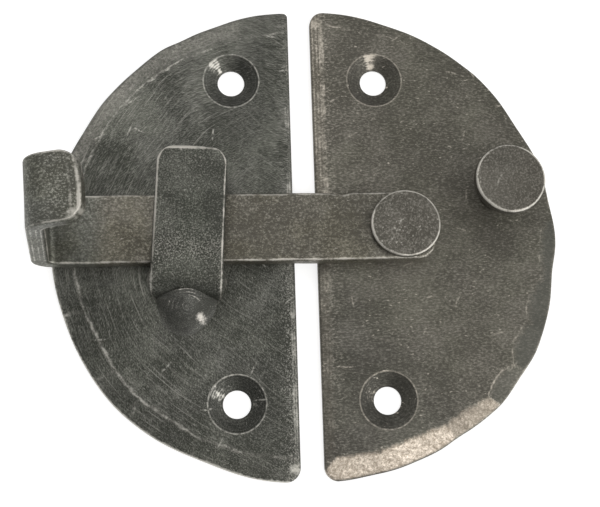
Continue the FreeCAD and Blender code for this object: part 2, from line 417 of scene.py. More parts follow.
@dataclass
class HammeredPlate:
    """Half-disc plate whose rim is beaten into facets, modelled with its arc towards +X and then put in
    place.

    Attributes:
        name, node: names of the piece and of the piece of the frame that it stands for.
        half_turn: whether it is turned half round, with its arc towards -X.
        overhang: how far the straight edge stands past the centre of the arc.
        lower_corner, upper_corner: radii of the corners at -Y and +Y, before any turn.
        edge_bevel: width and drop of the bevel on the straight edge.
        blows: hammer facets.
        dents: how far the rim is driven in, or spread where negative, by the angle from the arc's middle.
        glints: painted highlights on sides of the countersinks.
        seed: start of the random draw for its dents.
        cross_ridge: how much of the ridges' brightness the lines between facets have.
        ridge_width, ridge_sheen: half width of the worn ridges, and how much painted sheen lies along them.
        edge_scuff: how bright the straight edge is scuffed at its top and at its foot.
        edge_specks, edge_line: how far its skin is rubbed off, and how bright its bevel's inner line is.
        worn_corner: how bright the upper corner is worn.
        edge_streaks: distances from the straight edge of the worn lines on its bevel.
        tenons: places of the pins that are riveted into it.
        radius: radius of the arc.
        screw_circle, screw_angle: distance of the screw holes from the arc's centre, and angle from the edge.
        hole_radius, sink_radius, sink_angle: radii of the holes and countersinks, and the cones' full angle.
        rim_round, back_round: rounding of the upper and the lower rim.
        bevel_zone: width of the close rows along the rim.
        columns, middle: points round the outline, and place of the grid's pole as a share of the radius.
        tenon_radius, peen: radius of the bores for the pins, and depth of their countersinks at the back.
        face_dents: depth and wavelength of the broad and of the fine dents in the face.
        loss: how far the face lies below the stock's.
        mark_pitch, mark_depth: pitch and depth of the turning marks in the countersinks.
    """

    name: str
    node: str
    half_turn: bool
    overhang: float
    lower_corner: float
    upper_corner: float
    edge_bevel: tuple[float, float]
    blows: list[HammerBlow]
    dents: list[Bell]
    glints: tuple[Glint, ...]
    seed: int
    cross_ridge: float
    ridge_width: float
    ridge_sheen: float
    edge_scuff: tuple[float, float]
    edge_specks: float
    edge_line: float
    worn_corner: float
    edge_streaks: tuple[float, ...]
    tenons: list[Array] = field(default_factory=list)
    radius: float = 44.0
    screw_circle: float = 32.0
    screw_angle: float = 20.0
    hole_radius: float = 2.5
    sink_radius: float = 5.2
    sink_angle: float = 118.0
    rim_round: float = 0.4
    back_round: float = 0.25
    bevel_zone: float = 6.4
    columns: int = 780
    middle: float = 0.42
    tenon_radius: float = 2.42
    peen: float = 0.7
    face_dents: tuple[tuple[float, float], ...] = ((0.035, 13.0), (0.014, 4.5))
    loss: float = 0.05
    mark_pitch: float = 0.42
    mark_depth: float = 0.01

    def __post_init__(self) -> None:
        """Read the plate's place and thickness from the frame."""
        low, high = node_box(self.node)
        self.thickness = float(high[2] - low[2])
        edge = high[0] if self.half_turn else low[0]
        self.centre_x = float(edge - self.overhang if self.half_turn else edge + self.overhang)
        self.sign = -1.0 if self.half_turn else 1.0

    def corner(self, side: float, radius: float) -> tuple[Array, float]:
        """Centre of a rounded corner and the angle at which it meets the arc.

        Args:
            side: -1 for the lower corner, 1 for the upper.
            radius: radius of the corner.

        Returns:
            Centre, and angle in radians.
        """
        x = radius - self.overhang
        y = side * math.sqrt((self.radius - radius) ** 2 - x**2)
        return np.array([x, y]), math.atan2(y, x)

    def outline(self) -> Array:
        """Evenly spaced boundary: arc, upper corner, straight edge, lower corner.

        The arc's radius is less the bell of each dent.

        Returns:
            columns x 2 array of places.
        """
        low, low_angle = self.corner(-1, self.lower_corner)
        high, high_angle = self.corner(1, self.upper_corner)
        arc_steps = 2000
        sweep = np.linspace(low_angle, high_angle, arc_steps)
        radius = self.radius - self.bite(sweep)
        arc = radius[:, None] * circle(sweep)
        corner_steps = 60
        upper = high + self.upper_corner * circle(np.linspace(high_angle, math.pi, corner_steps))
        lower = low + self.lower_corner * circle(np.linspace(math.pi, 2 * math.pi + low_angle, corner_steps))
        path = np.concatenate([arc, upper, lower, arc[:1]])
        length = np.concatenate([[0], np.cumsum(np.linalg.norm(np.diff(path, axis=0), axis=1))])
        even = np.linspace(0, length[-1], self.columns, endpoint=False)
        return np.stack([np.interp(even, length, path[:, i]) for i in range(2)], axis=-1)

    def bite(self, angle: Array) -> Array:
        """How far the rim has gone in at each angle: the sum of its dents."""
        return sum(dent.at(np.degrees(angle)) for dent in self.dents)

    def off_rim(self, x: Array, y: Array) -> Array:
        """Distance in from the dented rim."""
        return self.radius - self.bite(np.arctan2(y, x)) - np.hypot(x, y)

    def depths(self, x: Array, y: Array) -> Array:
        """Depth of every facet's surface below the flat top, with the flat top itself first.

        A facet at angle a is slope * (x cos a + y sin a - inner reach) - hollow * (offset along the rim)^2.

        Args:
            x: first coordinate in the plate's own frame.
            y: second coordinate.

        Returns:
            Array with one more axis, one entry for each surface.
        """
        width, drop = self.edge_bevel
        angle = np.radians([b.angle for b in self.blows] + [180.0])
        reach = np.array([b.reach for b in self.blows] + [width])
        slope = np.array([b.drop for b in self.blows] + [drop]) / reach
        hollow = np.array([b.hollow for b in self.blows] + [0.0])
        inner = np.array([self.radius] * len(self.blows) + [self.overhang]) - reach
        along = x[..., None] * np.cos(angle) + y[..., None] * np.sin(angle) - inner
        across = y[..., None] * np.cos(angle) - x[..., None] * np.sin(angle)
        cuts = slope * along - hollow * across**2
        return np.concatenate([np.zeros_like(x)[..., None], cuts], axis=-1)

    def top(self, x: Array, y: Array) -> Array:
        """Height of the top face: the lowest surface, with soft ridges, and shallow dents all over.

        Args:
            x: first coordinate in the plate's own frame.
            y: second coordinate.

        Returns:
            Height above the back.
        """
        soft = 0.03
        cut = soft * np.log(np.exp(self.depths(x, y) / soft).sum(-1))
        scales = enumerate(self.face_dents)
        dents = sum(depth * soft_noise(x, y, wave, self.seed + n) for n, (depth, wave) in scales)
        calm_place, calm_radius, border = 12.0, 2.0, 6.0
        shown = ramp(np.hypot(x - calm_place, y), calm_radius, border)
        return self.thickness - cut + dents * shown - self.loss

    def grid(self) -> SurfaceGrid:
        """Whole plate as one grid, from the middle of the top, over the rim, to the middle of the back.

        Each column runs on the straight line from the plate's middle to one point of the outline.

        Returns:
            The closed surface in the plate's own frame.
        """
        edge = self.outline()
        middle = np.array([self.middle * self.radius, 0.0])
        span = np.linalg.norm(middle - edge, axis=1)
        inward = (middle - edge) / span[:, None]

        far_rows, near_rows, round_rows, wall_rows = 47, 32, 7, 5
        quarter = np.linspace(np.pi / 2, 0, round_rows)[1:]
        near = np.concatenate([
            self.bevel_zone - np.linspace(0, 1, near_rows)[:-1] * (self.bevel_zone - self.rim_round),
            self.rim_round * (1 - np.cos(quarter[::-1]))[::-1],
        ])
        far_share = np.linspace(1, 0, far_rows)[1:-1]
        inset = np.concatenate([
            self.bevel_zone + (span - self.bevel_zone) * far_share[:, None],
            np.broadcast_to(near[:, None], (len(near), len(span))),
        ])
        flat = edge + inward * inset[..., None]
        x, y = flat[..., 0], flat[..., 1]
        top = self.top(x, y) - rounded_drop(inset, self.rim_round)

        wall = np.linspace(1, 0, wall_rows)[1:, None]
        turn = np.linspace(0, np.pi / 2, wall_rows)[1:, None]
        back = np.array([0.15, 0.45, 0.8])[:, None]
        even = np.ones(len(span))
        back_inset = np.concatenate([
            0 * wall * even,
            self.back_round * (1 - np.cos(turn)) * even,
            self.back_round + (span - self.back_round) * back,
        ])
        back_height = np.concatenate([
            self.back_round + (top[-1] - self.back_round) * wall,
            self.back_round * (1 - np.sin(turn)) * even,
            0 * back * even,
        ])
        under = edge + inward * back_inset[..., None]
        points = np.concatenate([
            np.concatenate([flat, top[..., None]], axis=-1),
            np.concatenate([under, back_height[..., None]], axis=-1),
        ])
        peak = float(self.top(middle[:1], middle[1:])[0])
        return SurfaceGrid(points, np.array([*middle, peak]), np.array([*middle, 0.0]))

    def placed(self, points: Array) -> Array:
        """Turn and move points from the plate's own frame to the latch's.

        Args:
            points: places in the plate's own frame.

        Returns:
            Places in the latch's frame.
        """
        out = points.copy()
        out[..., 0] = self.sign * points[..., 0] + self.centre_x
        out[..., 1] = self.sign * points[..., 1]
        return out

    def local(self, points: Array) -> tuple[Array, Array]:
        """x and y in the plate's own frame of points of the latch."""
        return self.sign * (points[:, 0] - self.centre_x), self.sign * points[:, 1]

    def screw_places(self) -> list[Array]:
        """Centres of the two screw holes, in the latch's frame.

        Returns:
            Lower and upper centre.
        """
        angle = math.radians(self.screw_angle)
        x = self.centre_x + self.sign * self.screw_circle * math.sin(angle)
        y = self.screw_circle * math.cos(angle)
        return [np.array([x, -y]), np.array([x, y])]

    def ridges(self, x: Array, y: Array) -> Array:
        """Worn lines along the ridges, of even width.

        The distance to a ridge is the difference of the two deepest surfaces over that of their slopes.

        Args:
            x: first coordinate in the plate's own frame.
            y: second coordinate.

        Returns:
            Values from 0 to 1.
        """
        waver, wave = 0.15, 2.2
        x, y = (v + waver * soft_noise(x, y, wave, self.seed + n) for n, v in ((7, x), (8, y)))
        cuts = self.depths(x, y)
        order = np.argsort(cuts, axis=-1)[..., -2:]
        first, second = order[..., 1], order[..., 0]
        rows = np.arange(len(x))
        gap = cuts[rows, first] - cuts[rows, second]
        step, least_lean = 0.01, 0.02
        leans = []
        for ahead in (self.depths(x + step, y), self.depths(x, y + step)):
            leans.append((ahead[rows, first] - ahead[rows, second] - gap) / step)
        away = gap / np.maximum(np.hypot(*leans), least_lean)
        shine = np.array([0.0] + [b.ridge for b in self.blows] + [0.0])
        between = (first > 0) & (second > 0)
        strength = np.maximum(shine[first], shine[second]) * np.where(between, self.cross_ridge, 1.0)
        return strength * Bell(0.0, self.ridge_width).at(away)

    def scuffed(self, points: Array) -> Array:
        """How strongly the straight edge is scuffed at each height of the latch, from its foot to its top."""
        top, foot = self.edge_scuff
        return foot + (top - foot) * np.clip(0.5 + points[:, 1] / (1.6 * self.radius), 0, 1)

    def on_face(self, points: Array) -> Array:
        """Whether each point is on the upper face."""
        return points[:, 2] > 0.3 * self.thickness

    def wear(self, points: Array) -> Array:
        """How far each point is worn bright: ridges between facets, the rim, and the scuffed straight edge,
        with the painted highlights in the countersinks.

        Args:
            points: vertices in the latch's frame.

        Returns:
            Values from 0 to 1.
        """
        x, y = self.local(points)
        angle = np.degrees(np.arctan2(y, x))
        shine = np.interp(angle, [b.angle for b in self.blows], [b.rim for b in self.blows])
        lip, near_line, low_rim = 0.1, 0.8, 0.2
        rim = shine * Bell(0.0, 0.25).at(np.clip(self.off_rim(x, y) - lip, 0, None))
        from_edge = x + self.overhang
        bevel = self.edge_bevel[0]
        off_bevel = np.clip(from_edge - bevel, 0, None)
        haze, reach = 0.1, 1.1
        inner = Bell(0.0, 0.27, self.edge_line).at(off_bevel) + haze * np.exp(-off_bevel / reach)
        outer = Bell(0.0, 0.22, 0.6).at(from_edge[:, None] - np.array(self.edge_streaks)).max(-1)
        scuff = self.scuffed(points) * np.maximum(inner * (from_edge > near_line * bevel), outer)
        spot_in, spot_down = 0.9, 2.3
        away = np.hypot(from_edge - spot_in, y - self.radius + spot_down)
        scuff = np.maximum(scuff, Bell(0.0, 1.3, self.worn_corner).at(away))
        worn = np.maximum(self.ridges(x, y), scuff) * self.on_face(points)
        worn = np.maximum(worn, rim * (points[:, 2] > low_rim))
        # The painted highlights in the countersinks go into the same layer as the wear.
        return np.maximum(worn, self.painted_glints(points))

    def painted_glints(self, points: Array) -> Array:
        """Painted highlights on the sides of the countersinks: a bell over the angle, barred by the turning
        marks.

        Args:
            points: vertices in the latch's frame.

        Returns:
            Values from 0 to 1.
        """
        total = np.zeros(len(points))
        lower, upper = self.screw_places()
        mean, swing, uneven, wave = 0.7, 0.2, 0.3, 1.1
        inner, low_cone = self.hole_radius + 0.1, 0.1
        for glint in self.glints:
            arm = points[:, :2] - (upper if glint.upper else lower)
            away = np.hypot(arm[:, 0], arm[:, 1])
            off = np.degrees(np.arctan2(arm[:, 1], arm[:, 0])) - glint.angle
            off = (off + 180) % 360 - 180
            cone = (away > inner) & (away < self.sink_radius) & (points[:, 2] > low_cone)
            bars = mean + swing * np.cos(2 * np.pi * away / self.mark_pitch)
            bars = bars + uneven * soft_noise(arm[:, 0], arm[:, 1], wave, self.seed)
            total = np.maximum(total, Bell(0.0, glint.spread, glint.strength).at(off) * bars * cone)
        return total

    def painted_sheen(self, points: Array) -> Array:
        """Painted sheen on the hammer facets at each point, and painted shade where negative.

        Args:
            points: vertices in the latch's frame.

        Returns:
            Values from -1 to 1; the rim itself stays dark.
        """
        bevel, full_sheen_depth, least_sheen, low_face = 0.1, 0.19, 0.08, 0.3
        x, y = self.local(points)
        cuts = self.depths(x, y)
        bright = np.array([0.0] + [b.bright for b in self.blows] + [bevel])[cuts.argmax(-1)]
        ragged = 0.06 * soft_noise(x, y, 1.3, self.seed + 9)
        deep = ramp(cuts.max(-1) + ragged, 0.0, full_sheen_depth)
        # Painted sheen, or painted shade where negative, grows with the facet's depth and stops short of the
        # rim.
        skin = bright * deep * ramp(self.off_rim(x, y), start=0.12, length=0.3)
        lines = self.ridge_sheen * self.ridges(x, y)
        skin = np.where(lines > least_sheen, np.maximum(skin, lines), skin)
        return skin * (points[:, 2] > low_face)

    def specks(self, points: Array) -> Array:
        """Rubbed specks along the bevel of the straight edge, more at the end that is scuffed more."""
        near = Bell(0.3, 1.1).at(self.local(points)[0] + self.overhang - self.edge_bevel[0])
        return self.edge_specks * self.scuffed(points) * near * self.on_face(points)

    def folded_hole(self) -> Place:
        """Centre of a screw hole, folded to the quarter where X and Y are positive."""
        x, y = np.abs(self.screw_places()[1])
        return float(x), float(y), 0.0

    def build(self) -> bpy.types.Object:
        """Make the plate, bore it and write its layers.

        Returns:
            The plate.
        """
        grid = self.grid()
        grid = SurfaceGrid(self.placed(grid.points), self.placed(grid.start), self.placed(grid.end))
        plate = grid.to_object(self.name)
        past, sink_rows, steps, plain_border = 1.0, 60, 120, 0.2
        over = self.thickness + past
        flare = math.tan(math.radians(self.sink_angle / 2))
        wide = np.linspace(self.sink_radius + flare * past, self.hole_radius, sink_rows)
        cone = self.thickness - (self.sink_radius - wide) / flare
        marked = wide < self.sink_radius - plain_border
        rings = self.mark_depth * np.sin(2 * np.pi * wide / self.mark_pitch) * marked
        screw = [(0, over), *zip(wide, cone + rings), (self.hole_radius, -past), (0, -past)]
        below = past / 2
        tenon = [
            (0, over), (self.tenon_radius, over), (self.tenon_radius, self.peen),
            (self.tenon_radius + self.peen + below, -below), (0, -below),
        ]
        holes = [(place, screw) for place in self.screw_places()] + [(place, tenon) for place in self.tenons]
        for place, profile in holes:
            bored(plate, turned(np.array(profile), place, steps).to_object("cutter"))
        points = vertex_places(plate.data)
        for layer, values in ((Layer.WEAR, self.wear), (Layer.PAINTED_SHEEN, self.painted_sheen), (Layer.SPECKS, self.specks)):
            set_layer(plate.data, layer, values(points))
        return plate


@dataclass(frozen=True)
class Run:
    """One stretch of a bent strip: its length along the middle of the thickness, and its turn in degrees."""

    length: float
    turn: float = 0.0


@dataclass
class BendPath:
    """Side view of a bent strip, as straight runs and arcs in a plane of distance ahead and height.

    Attributes:
        runs: the stretches in order.
        heading: first direction, in degrees above straight ahead.
        height: height of the middle of the thickness at the start.
    """

    runs: list[Run]
    heading: float
    height: float

    def place(self, along: Array, side: Array) -> tuple[Array, Array]:
        """Carry points from the flat strip to the bent one.

        On a straight run a point moves along the heading; on an arc of radius q about a centre on the inner
        side it goes to the centre plus (q - side) turned by the angle gone round.

        Args:
            along: distance along the flat strip.
            side: distance from the middle of the thickness towards the inner side.

        Returns:
            Distance ahead and height of each point.
        """
        ahead = np.zeros_like(along)
        height = np.zeros_like(along)
        x, z, angle, begin = 0.0, self.height, math.radians(self.heading), 0.0
        for number, run in enumerate(self.runs):
            first, last = number == 0, number == len(self.runs) - 1
            low = -np.inf if first else begin
            high = np.inf if last else begin + run.length
            here = (along >= low) & (along < high)
            gone = along[here] - begin
            if run.turn:
                turn = math.radians(run.turn)
                radius = run.length / turn
                centre = (x - radius * math.sin(angle), z + radius * math.cos(angle))
                swept = angle + gone / radius
                ahead[here] = centre[0] + (radius - side[here]) * np.sin(swept)
                height[here] = centre[1] - (radius - side[here]) * np.cos(swept)
                x = centre[0] + radius * math.sin(angle + turn)
                z = centre[1] - radius * math.cos(angle + turn)
                angle += turn
            else:
                ahead[here] = x + gone * math.cos(angle) - side[here] * math.sin(angle)
                height[here] = z + gone * math.sin(angle) + side[here] * math.cos(angle)
                x += run.length * math.cos(angle)
                z += run.length * math.sin(angle)
            begin += run.length
        return ahead, height


@dataclass
class FlatStrip:
    """Straight flat bar with rounded edges and rounded ends, before it is bent.

    Attributes:
        width, thickness, edge_round: sizes of its section, and the radius along its edges.
        start, stop: where it begins and ends along its length.
        start_corner, stop_corner: corner radii at the two ends, seen from above.
        bulge, bulge_zone: how far the middle of the end stands out, and the length that this takes up.
        step: spacing of its rows.
    """

    width: float
    thickness: float
    edge_round: float
    start: float
    stop: float
    start_corner: float
    stop_corner: float
    bulge: float
    step: float = 0.4
    bulge_zone: float = 5.0

    def section(self) -> tuple[Array, Array, Array]:
        """Rounded rectangle round the bar, from corner to corner.

        Returns:
            Place across, place through the thickness, and wear: up to 1 where an edge turns into a face.
        """
        radius, arc_steps, face_steps, side_steps = self.edge_round, 9, 30, 14
        signs = np.array([(1, 1), (-1, 1), (-1, -1), (1, -1)])
        centres = signs * (self.width / 2 - radius, self.thickness / 2 - radius)
        path, wear = [], []
        for number, centre in enumerate(centres):
            turn = np.radians(90 * number) + np.linspace(0, np.pi / 2, arc_steps)
            arc = centre + radius * circle(turn)
            stop = centres[(number + 1) % 4] + radius * circle(turn[-1])
            count = side_steps if number % 2 else face_steps
            share = np.linspace(0, 1, count + 2)[1:-1, None]
            path += [arc, arc[-1] + (stop - arc[-1]) * share]
            to_face = np.abs(90 - np.abs(np.degrees(turn) % 180 - 90))
            wear += [Bell(32.0, 20.0).at(90 - to_face), np.zeros(count)]
        across, through = np.concatenate(path).T
        return across, through, np.concatenate(wear)

    def rows(self) -> Array:
        """Places of the rows along the bar, close together at the rounded ends.

        Returns:
            Distances in order.
        """
        drop = 1 - np.cos(np.linspace(0, np.pi / 2, 15))
        ends = (self.start_corner, self.stop_corner)
        lead_in, lead_out = (np.unique(np.concatenate([self.edge_round * drop, end * drop])) for end in ends)
        lead_in, lead_out = self.start + lead_in, self.stop - lead_out[::-1]
        count = max(2, round((lead_out[0] - lead_in[-1]) / self.step))
        middle = np.linspace(lead_in[-1], lead_out[0], count + 1)[1:-1]
        return np.concatenate([lead_in, middle, lead_out])

    def half_width(self, along: Array) -> Array:
        """Half the bar's width at each place: it follows the corner circles at the two ends.

        Args:
            along: places along the bar.

        Returns:
            Half width at each of them.
        """
        from_start = rounded_drop(along - self.start, self.start_corner)
        from_stop = rounded_drop(self.stop - along, self.stop_corner)
        return self.width / 2 - from_start - from_stop

    def flat(self) -> tuple[Array, Array, Array, Array]:
        """Grid of the bar's surface before bending.

        Returns:
            Place along, across and through the thickness from its middle, and wear, each rows x columns.
        """
        across, through, wear = self.section()
        along = self.rows()
        wide = self.half_width(along)[:, None] / (self.width / 2)
        end = np.minimum(along - self.start, self.stop - along)
        thin = 1 - rounded_drop(end, self.edge_round)[:, None] / (self.thickness / 2)
        at_start, at_stop = Bell(0.24, 0.2, 0.3), Bell(0.3, 0.36, 0.9)
        at_end = np.maximum(at_start.at(along - self.start), at_stop.at(self.stop - along))
        grown = np.broadcast_to(along[:, None], (len(along), len(across)))
        sides = SIDE_APART * np.sign(across) * np.ones_like(grown)
        uneven = 0.82 + 0.3 * soft_noise(grown, sides, 4.0, seed=71)
        return grown, across * wide, through * thin, np.maximum(wear, at_end[:, None]) * uneven

    def bulged(self, along: Array, across: Array) -> Array:
        """Places along the bar once its end stands out by bulge (1 - (across / half width)^2)."""
        near = np.clip((along - self.stop) / self.bulge_zone + 1.0, 0, 1) ** 2
        return along + self.bulge * near * (1 - (2 * across / self.width) ** 2)


@dataclass
class StripSizes:
    """Sizes that the latch bar and the keeper share."""

    width: float = 12.7
    thickness: float = 3.2
    edge_round: float = 0.65
    bend_radius: float = 1.0

    @property
    def middle_radius(self) -> float:
        """Bend radius at the middle of the thickness."""
        return self.bend_radius + self.thickness / 2

    def bend(self, turn: float) -> Run:
        """A bend of `turn` degrees at the strip's own radius."""
        return Run(self.middle_radius * math.radians(turn), turn)


@dataclass
class LatchBar:
    """Pivoting bar, bent twice along skewed fold lines into a thumb hook.

    Attributes:
        strip: sizes of the flat bar.
        past_pivot, end_corner: length past the pivot, and corner radius at that end.
        reach: distance from the pivot to the outer face of the riser.
        rise: height of the hook above the bar.
        back: length of the returned tab.
        skew: turn of the fold lines from square.
        lean, lift: how far the riser leans back over the bar, and how far the tab's end is raised.
        tab_corner, tab_bulge: corner radius of the tab, and how far the middle of its end stands out.
        taper: width of the tab as a share of the bar's.
        nick, nick_shine: nick in the upper edge, by the distance from the pivot, and width of its bright lip.
        eye_radius: radius of the hole for the rivet.
        edge_loss, face_loss: depth and wavelength of the unevenness of the edges and of the faces.
    """

    strip: StripSizes
    past_pivot: float = 5.6
    end_corner: float = 3.5
    reach: float = 66.6
    rise: float = 23.3
    back: float = 9.6
    skew: float = 3.0
    lean: float = 6.7
    lift: float = 9.7
    tab_corner: float = 2.8
    tab_bulge: float = 0.7
    taper: float = 0.94
    nick: Bell = Bell(11.4, 1.3, 0.55)
    nick_shine: float = 1.7
    eye_radius: float = 3.55
    edge_loss: tuple[float, float] = (0.11, 9.0)
    face_loss: tuple[float, float] = (0.05, 7.0)

    def build(self) -> bpy.types.Object:
        """Make the bar with the eye for its rivet.

        Returns:
            The bar.
        """
        low, high = node_box("pivot_rivet")
        pivot = (low + high) / 2
        bottom = node_box("latch_bar")[0][2]
        strip = self.strip
        outer = strip.bend_radius + strip.thickness
        skew = math.radians(self.skew)
        fold_start = self.reach - outer / math.cos(skew)
        riser = (self.rise - 2 * strip.bend_radius - strip.thickness) / math.cos(math.radians(self.lean))
        lower = strip.bend(90 + self.lean)
        upper = strip.bend(90 - self.lean - self.lift)
        tab = self.back - outer
        length = (lower.length + riser + upper.length) / math.cos(skew) + tab
        path = BendPath([Run(0.0), lower, Run(riser), upper, Run(tab)], 0.0, bottom + strip.thickness / 2)

        blank = FlatStrip(strip.width, strip.thickness, strip.edge_round, -self.past_pivot,
                          fold_start + length, self.end_corner, self.tab_corner, self.tab_bulge)
        along, across, through, wear = blank.flat()
        layers = self.rubbed(along, across, through, wear, fold_start, fold_start + length - tab)
        along = blank.bulged(along, across)
        across, through = self.forged(along, across, through)
        across = across * (1 + (self.taper - 1) * ramp(along, fold_start, length - tab))
        ahead_flat = (along - fold_start) * math.cos(skew) - across * math.sin(skew)
        aside = (along - fold_start) * math.sin(skew) + across * math.cos(skew)
        ahead, height = path.place(ahead_flat, through)
        origin = np.array([pivot[0] - fold_start, pivot[1]])
        x = origin[0] - ahead * math.cos(skew) - aside * math.sin(skew)
        y = origin[1] - ahead * math.sin(skew) + aside * math.cos(skew)
        points = np.stack([x, y, height], axis=-1)
        bar = SurfaceGrid.capped(points, layers).to_object("latch_bar_forged")
        over, under, steps = bottom + 6.0, bottom - 2.0, 96
        eye = np.array([(0, over), (self.eye_radius, over), (self.eye_radius, under), (0, under)])
        bored(bar, turned(eye, pivot, steps).to_object("cutter"))
        return bar

    def rubbed(
        self, along: Array, across: Array, through: Array, wear: Array, fold: float, tab: float,
    ) -> dict[Layer, Array]:
        """Add what the thumb and the bending have rubbed bright to the wear of the edges.

        Args:
            along: place along the bar.
            across: place across it.
            through: place through its thickness.
            wear: wear of the edges.
            fold: where the first bend starts.
            tab: where the tab starts.

        Returns:
            Wear, and specks on the tab's face.
        """
        half, thick = self.strip.width / 2, self.strip.thickness
        left = along.max() - along
        outer = through < 0.2 * thick
        lower = np.clip(0.85 - 0.5 * across / half, 0.6, 1.2)
        spot = Bell(1.3, 1.1, 0.8).at(left) * Bell(1.2, 1.2).at(across + half)
        lines = Bell(0.3, 0.25).at(left) + Bell(1.45, 0.28, 0.6).at(left)
        worn = np.maximum(wear, np.maximum(lines * lower, spot) * outer)
        lip = Bell(self.nick.place, self.nick_shine).at(along) * np.clip(across / half - 0.76, 0, 0.2) * 4.5
        worn = np.maximum(worn, lip * (through > 0))
        heel = np.clip(1.4 - 0.45 * (along + self.past_pivot), 0, 1)
        worn = worn * (1 - 0.75 * heel)
        bends = (np.abs(across) > half - 0.3) & (along > fold - 3.0) & (along < tab + 3.0)
        stretched = sum(Bell(place, 0.045, 0.55).at(through / thick) for place in (-0.27, 0.02, 0.26))
        worn = np.maximum(worn, stretched * bends)
        brow = Bell(-1.25, 0.22, 0.5).at(across - half)
        worn = np.maximum(worn, brow * (along > tab - 1.0) * outer)
        face = ramp(along - tab, -0.6, 1.2) * (through < -0.45 * thick)
        low_heel = heel * np.clip(-2.2 * across / half - 1.0, 0, 1) * (through > 0.1 * thick)
        return {Layer.WEAR: worn, Layer.SPECKS: 0.1 * face + 0.75 * low_heel}

    def forged(self, along: Array, across: Array, through: Array) -> tuple[Array, Array]:
        """Make the straight bar uneven: wavy edges, dented faces and a nick in its upper edge.

        The edges and the faces lose a little soft noise, and the nick takes a bell-shaped bite out of the
        corner of the upper edge.

        Args:
            along: place along the bar.
            across: place across it.
            through: place through its thickness.

        Returns:
            Changed places across and through.
        """
        half = self.strip.width / 2
        side = np.sign(across)
        inset = worn_away(along, SIDE_APART * side, *self.edge_loss, seed=5) * np.abs(across) / half
        nick = self.nick.at(along) * (across > 0.9 * half) * (through > 0)
        face = worn_away(along, across, *self.face_loss, seed=6) * np.clip(1.2 - np.abs(across) / half, 0, 1)
        return across - side * (inset + nick), through - np.sign(through) * face


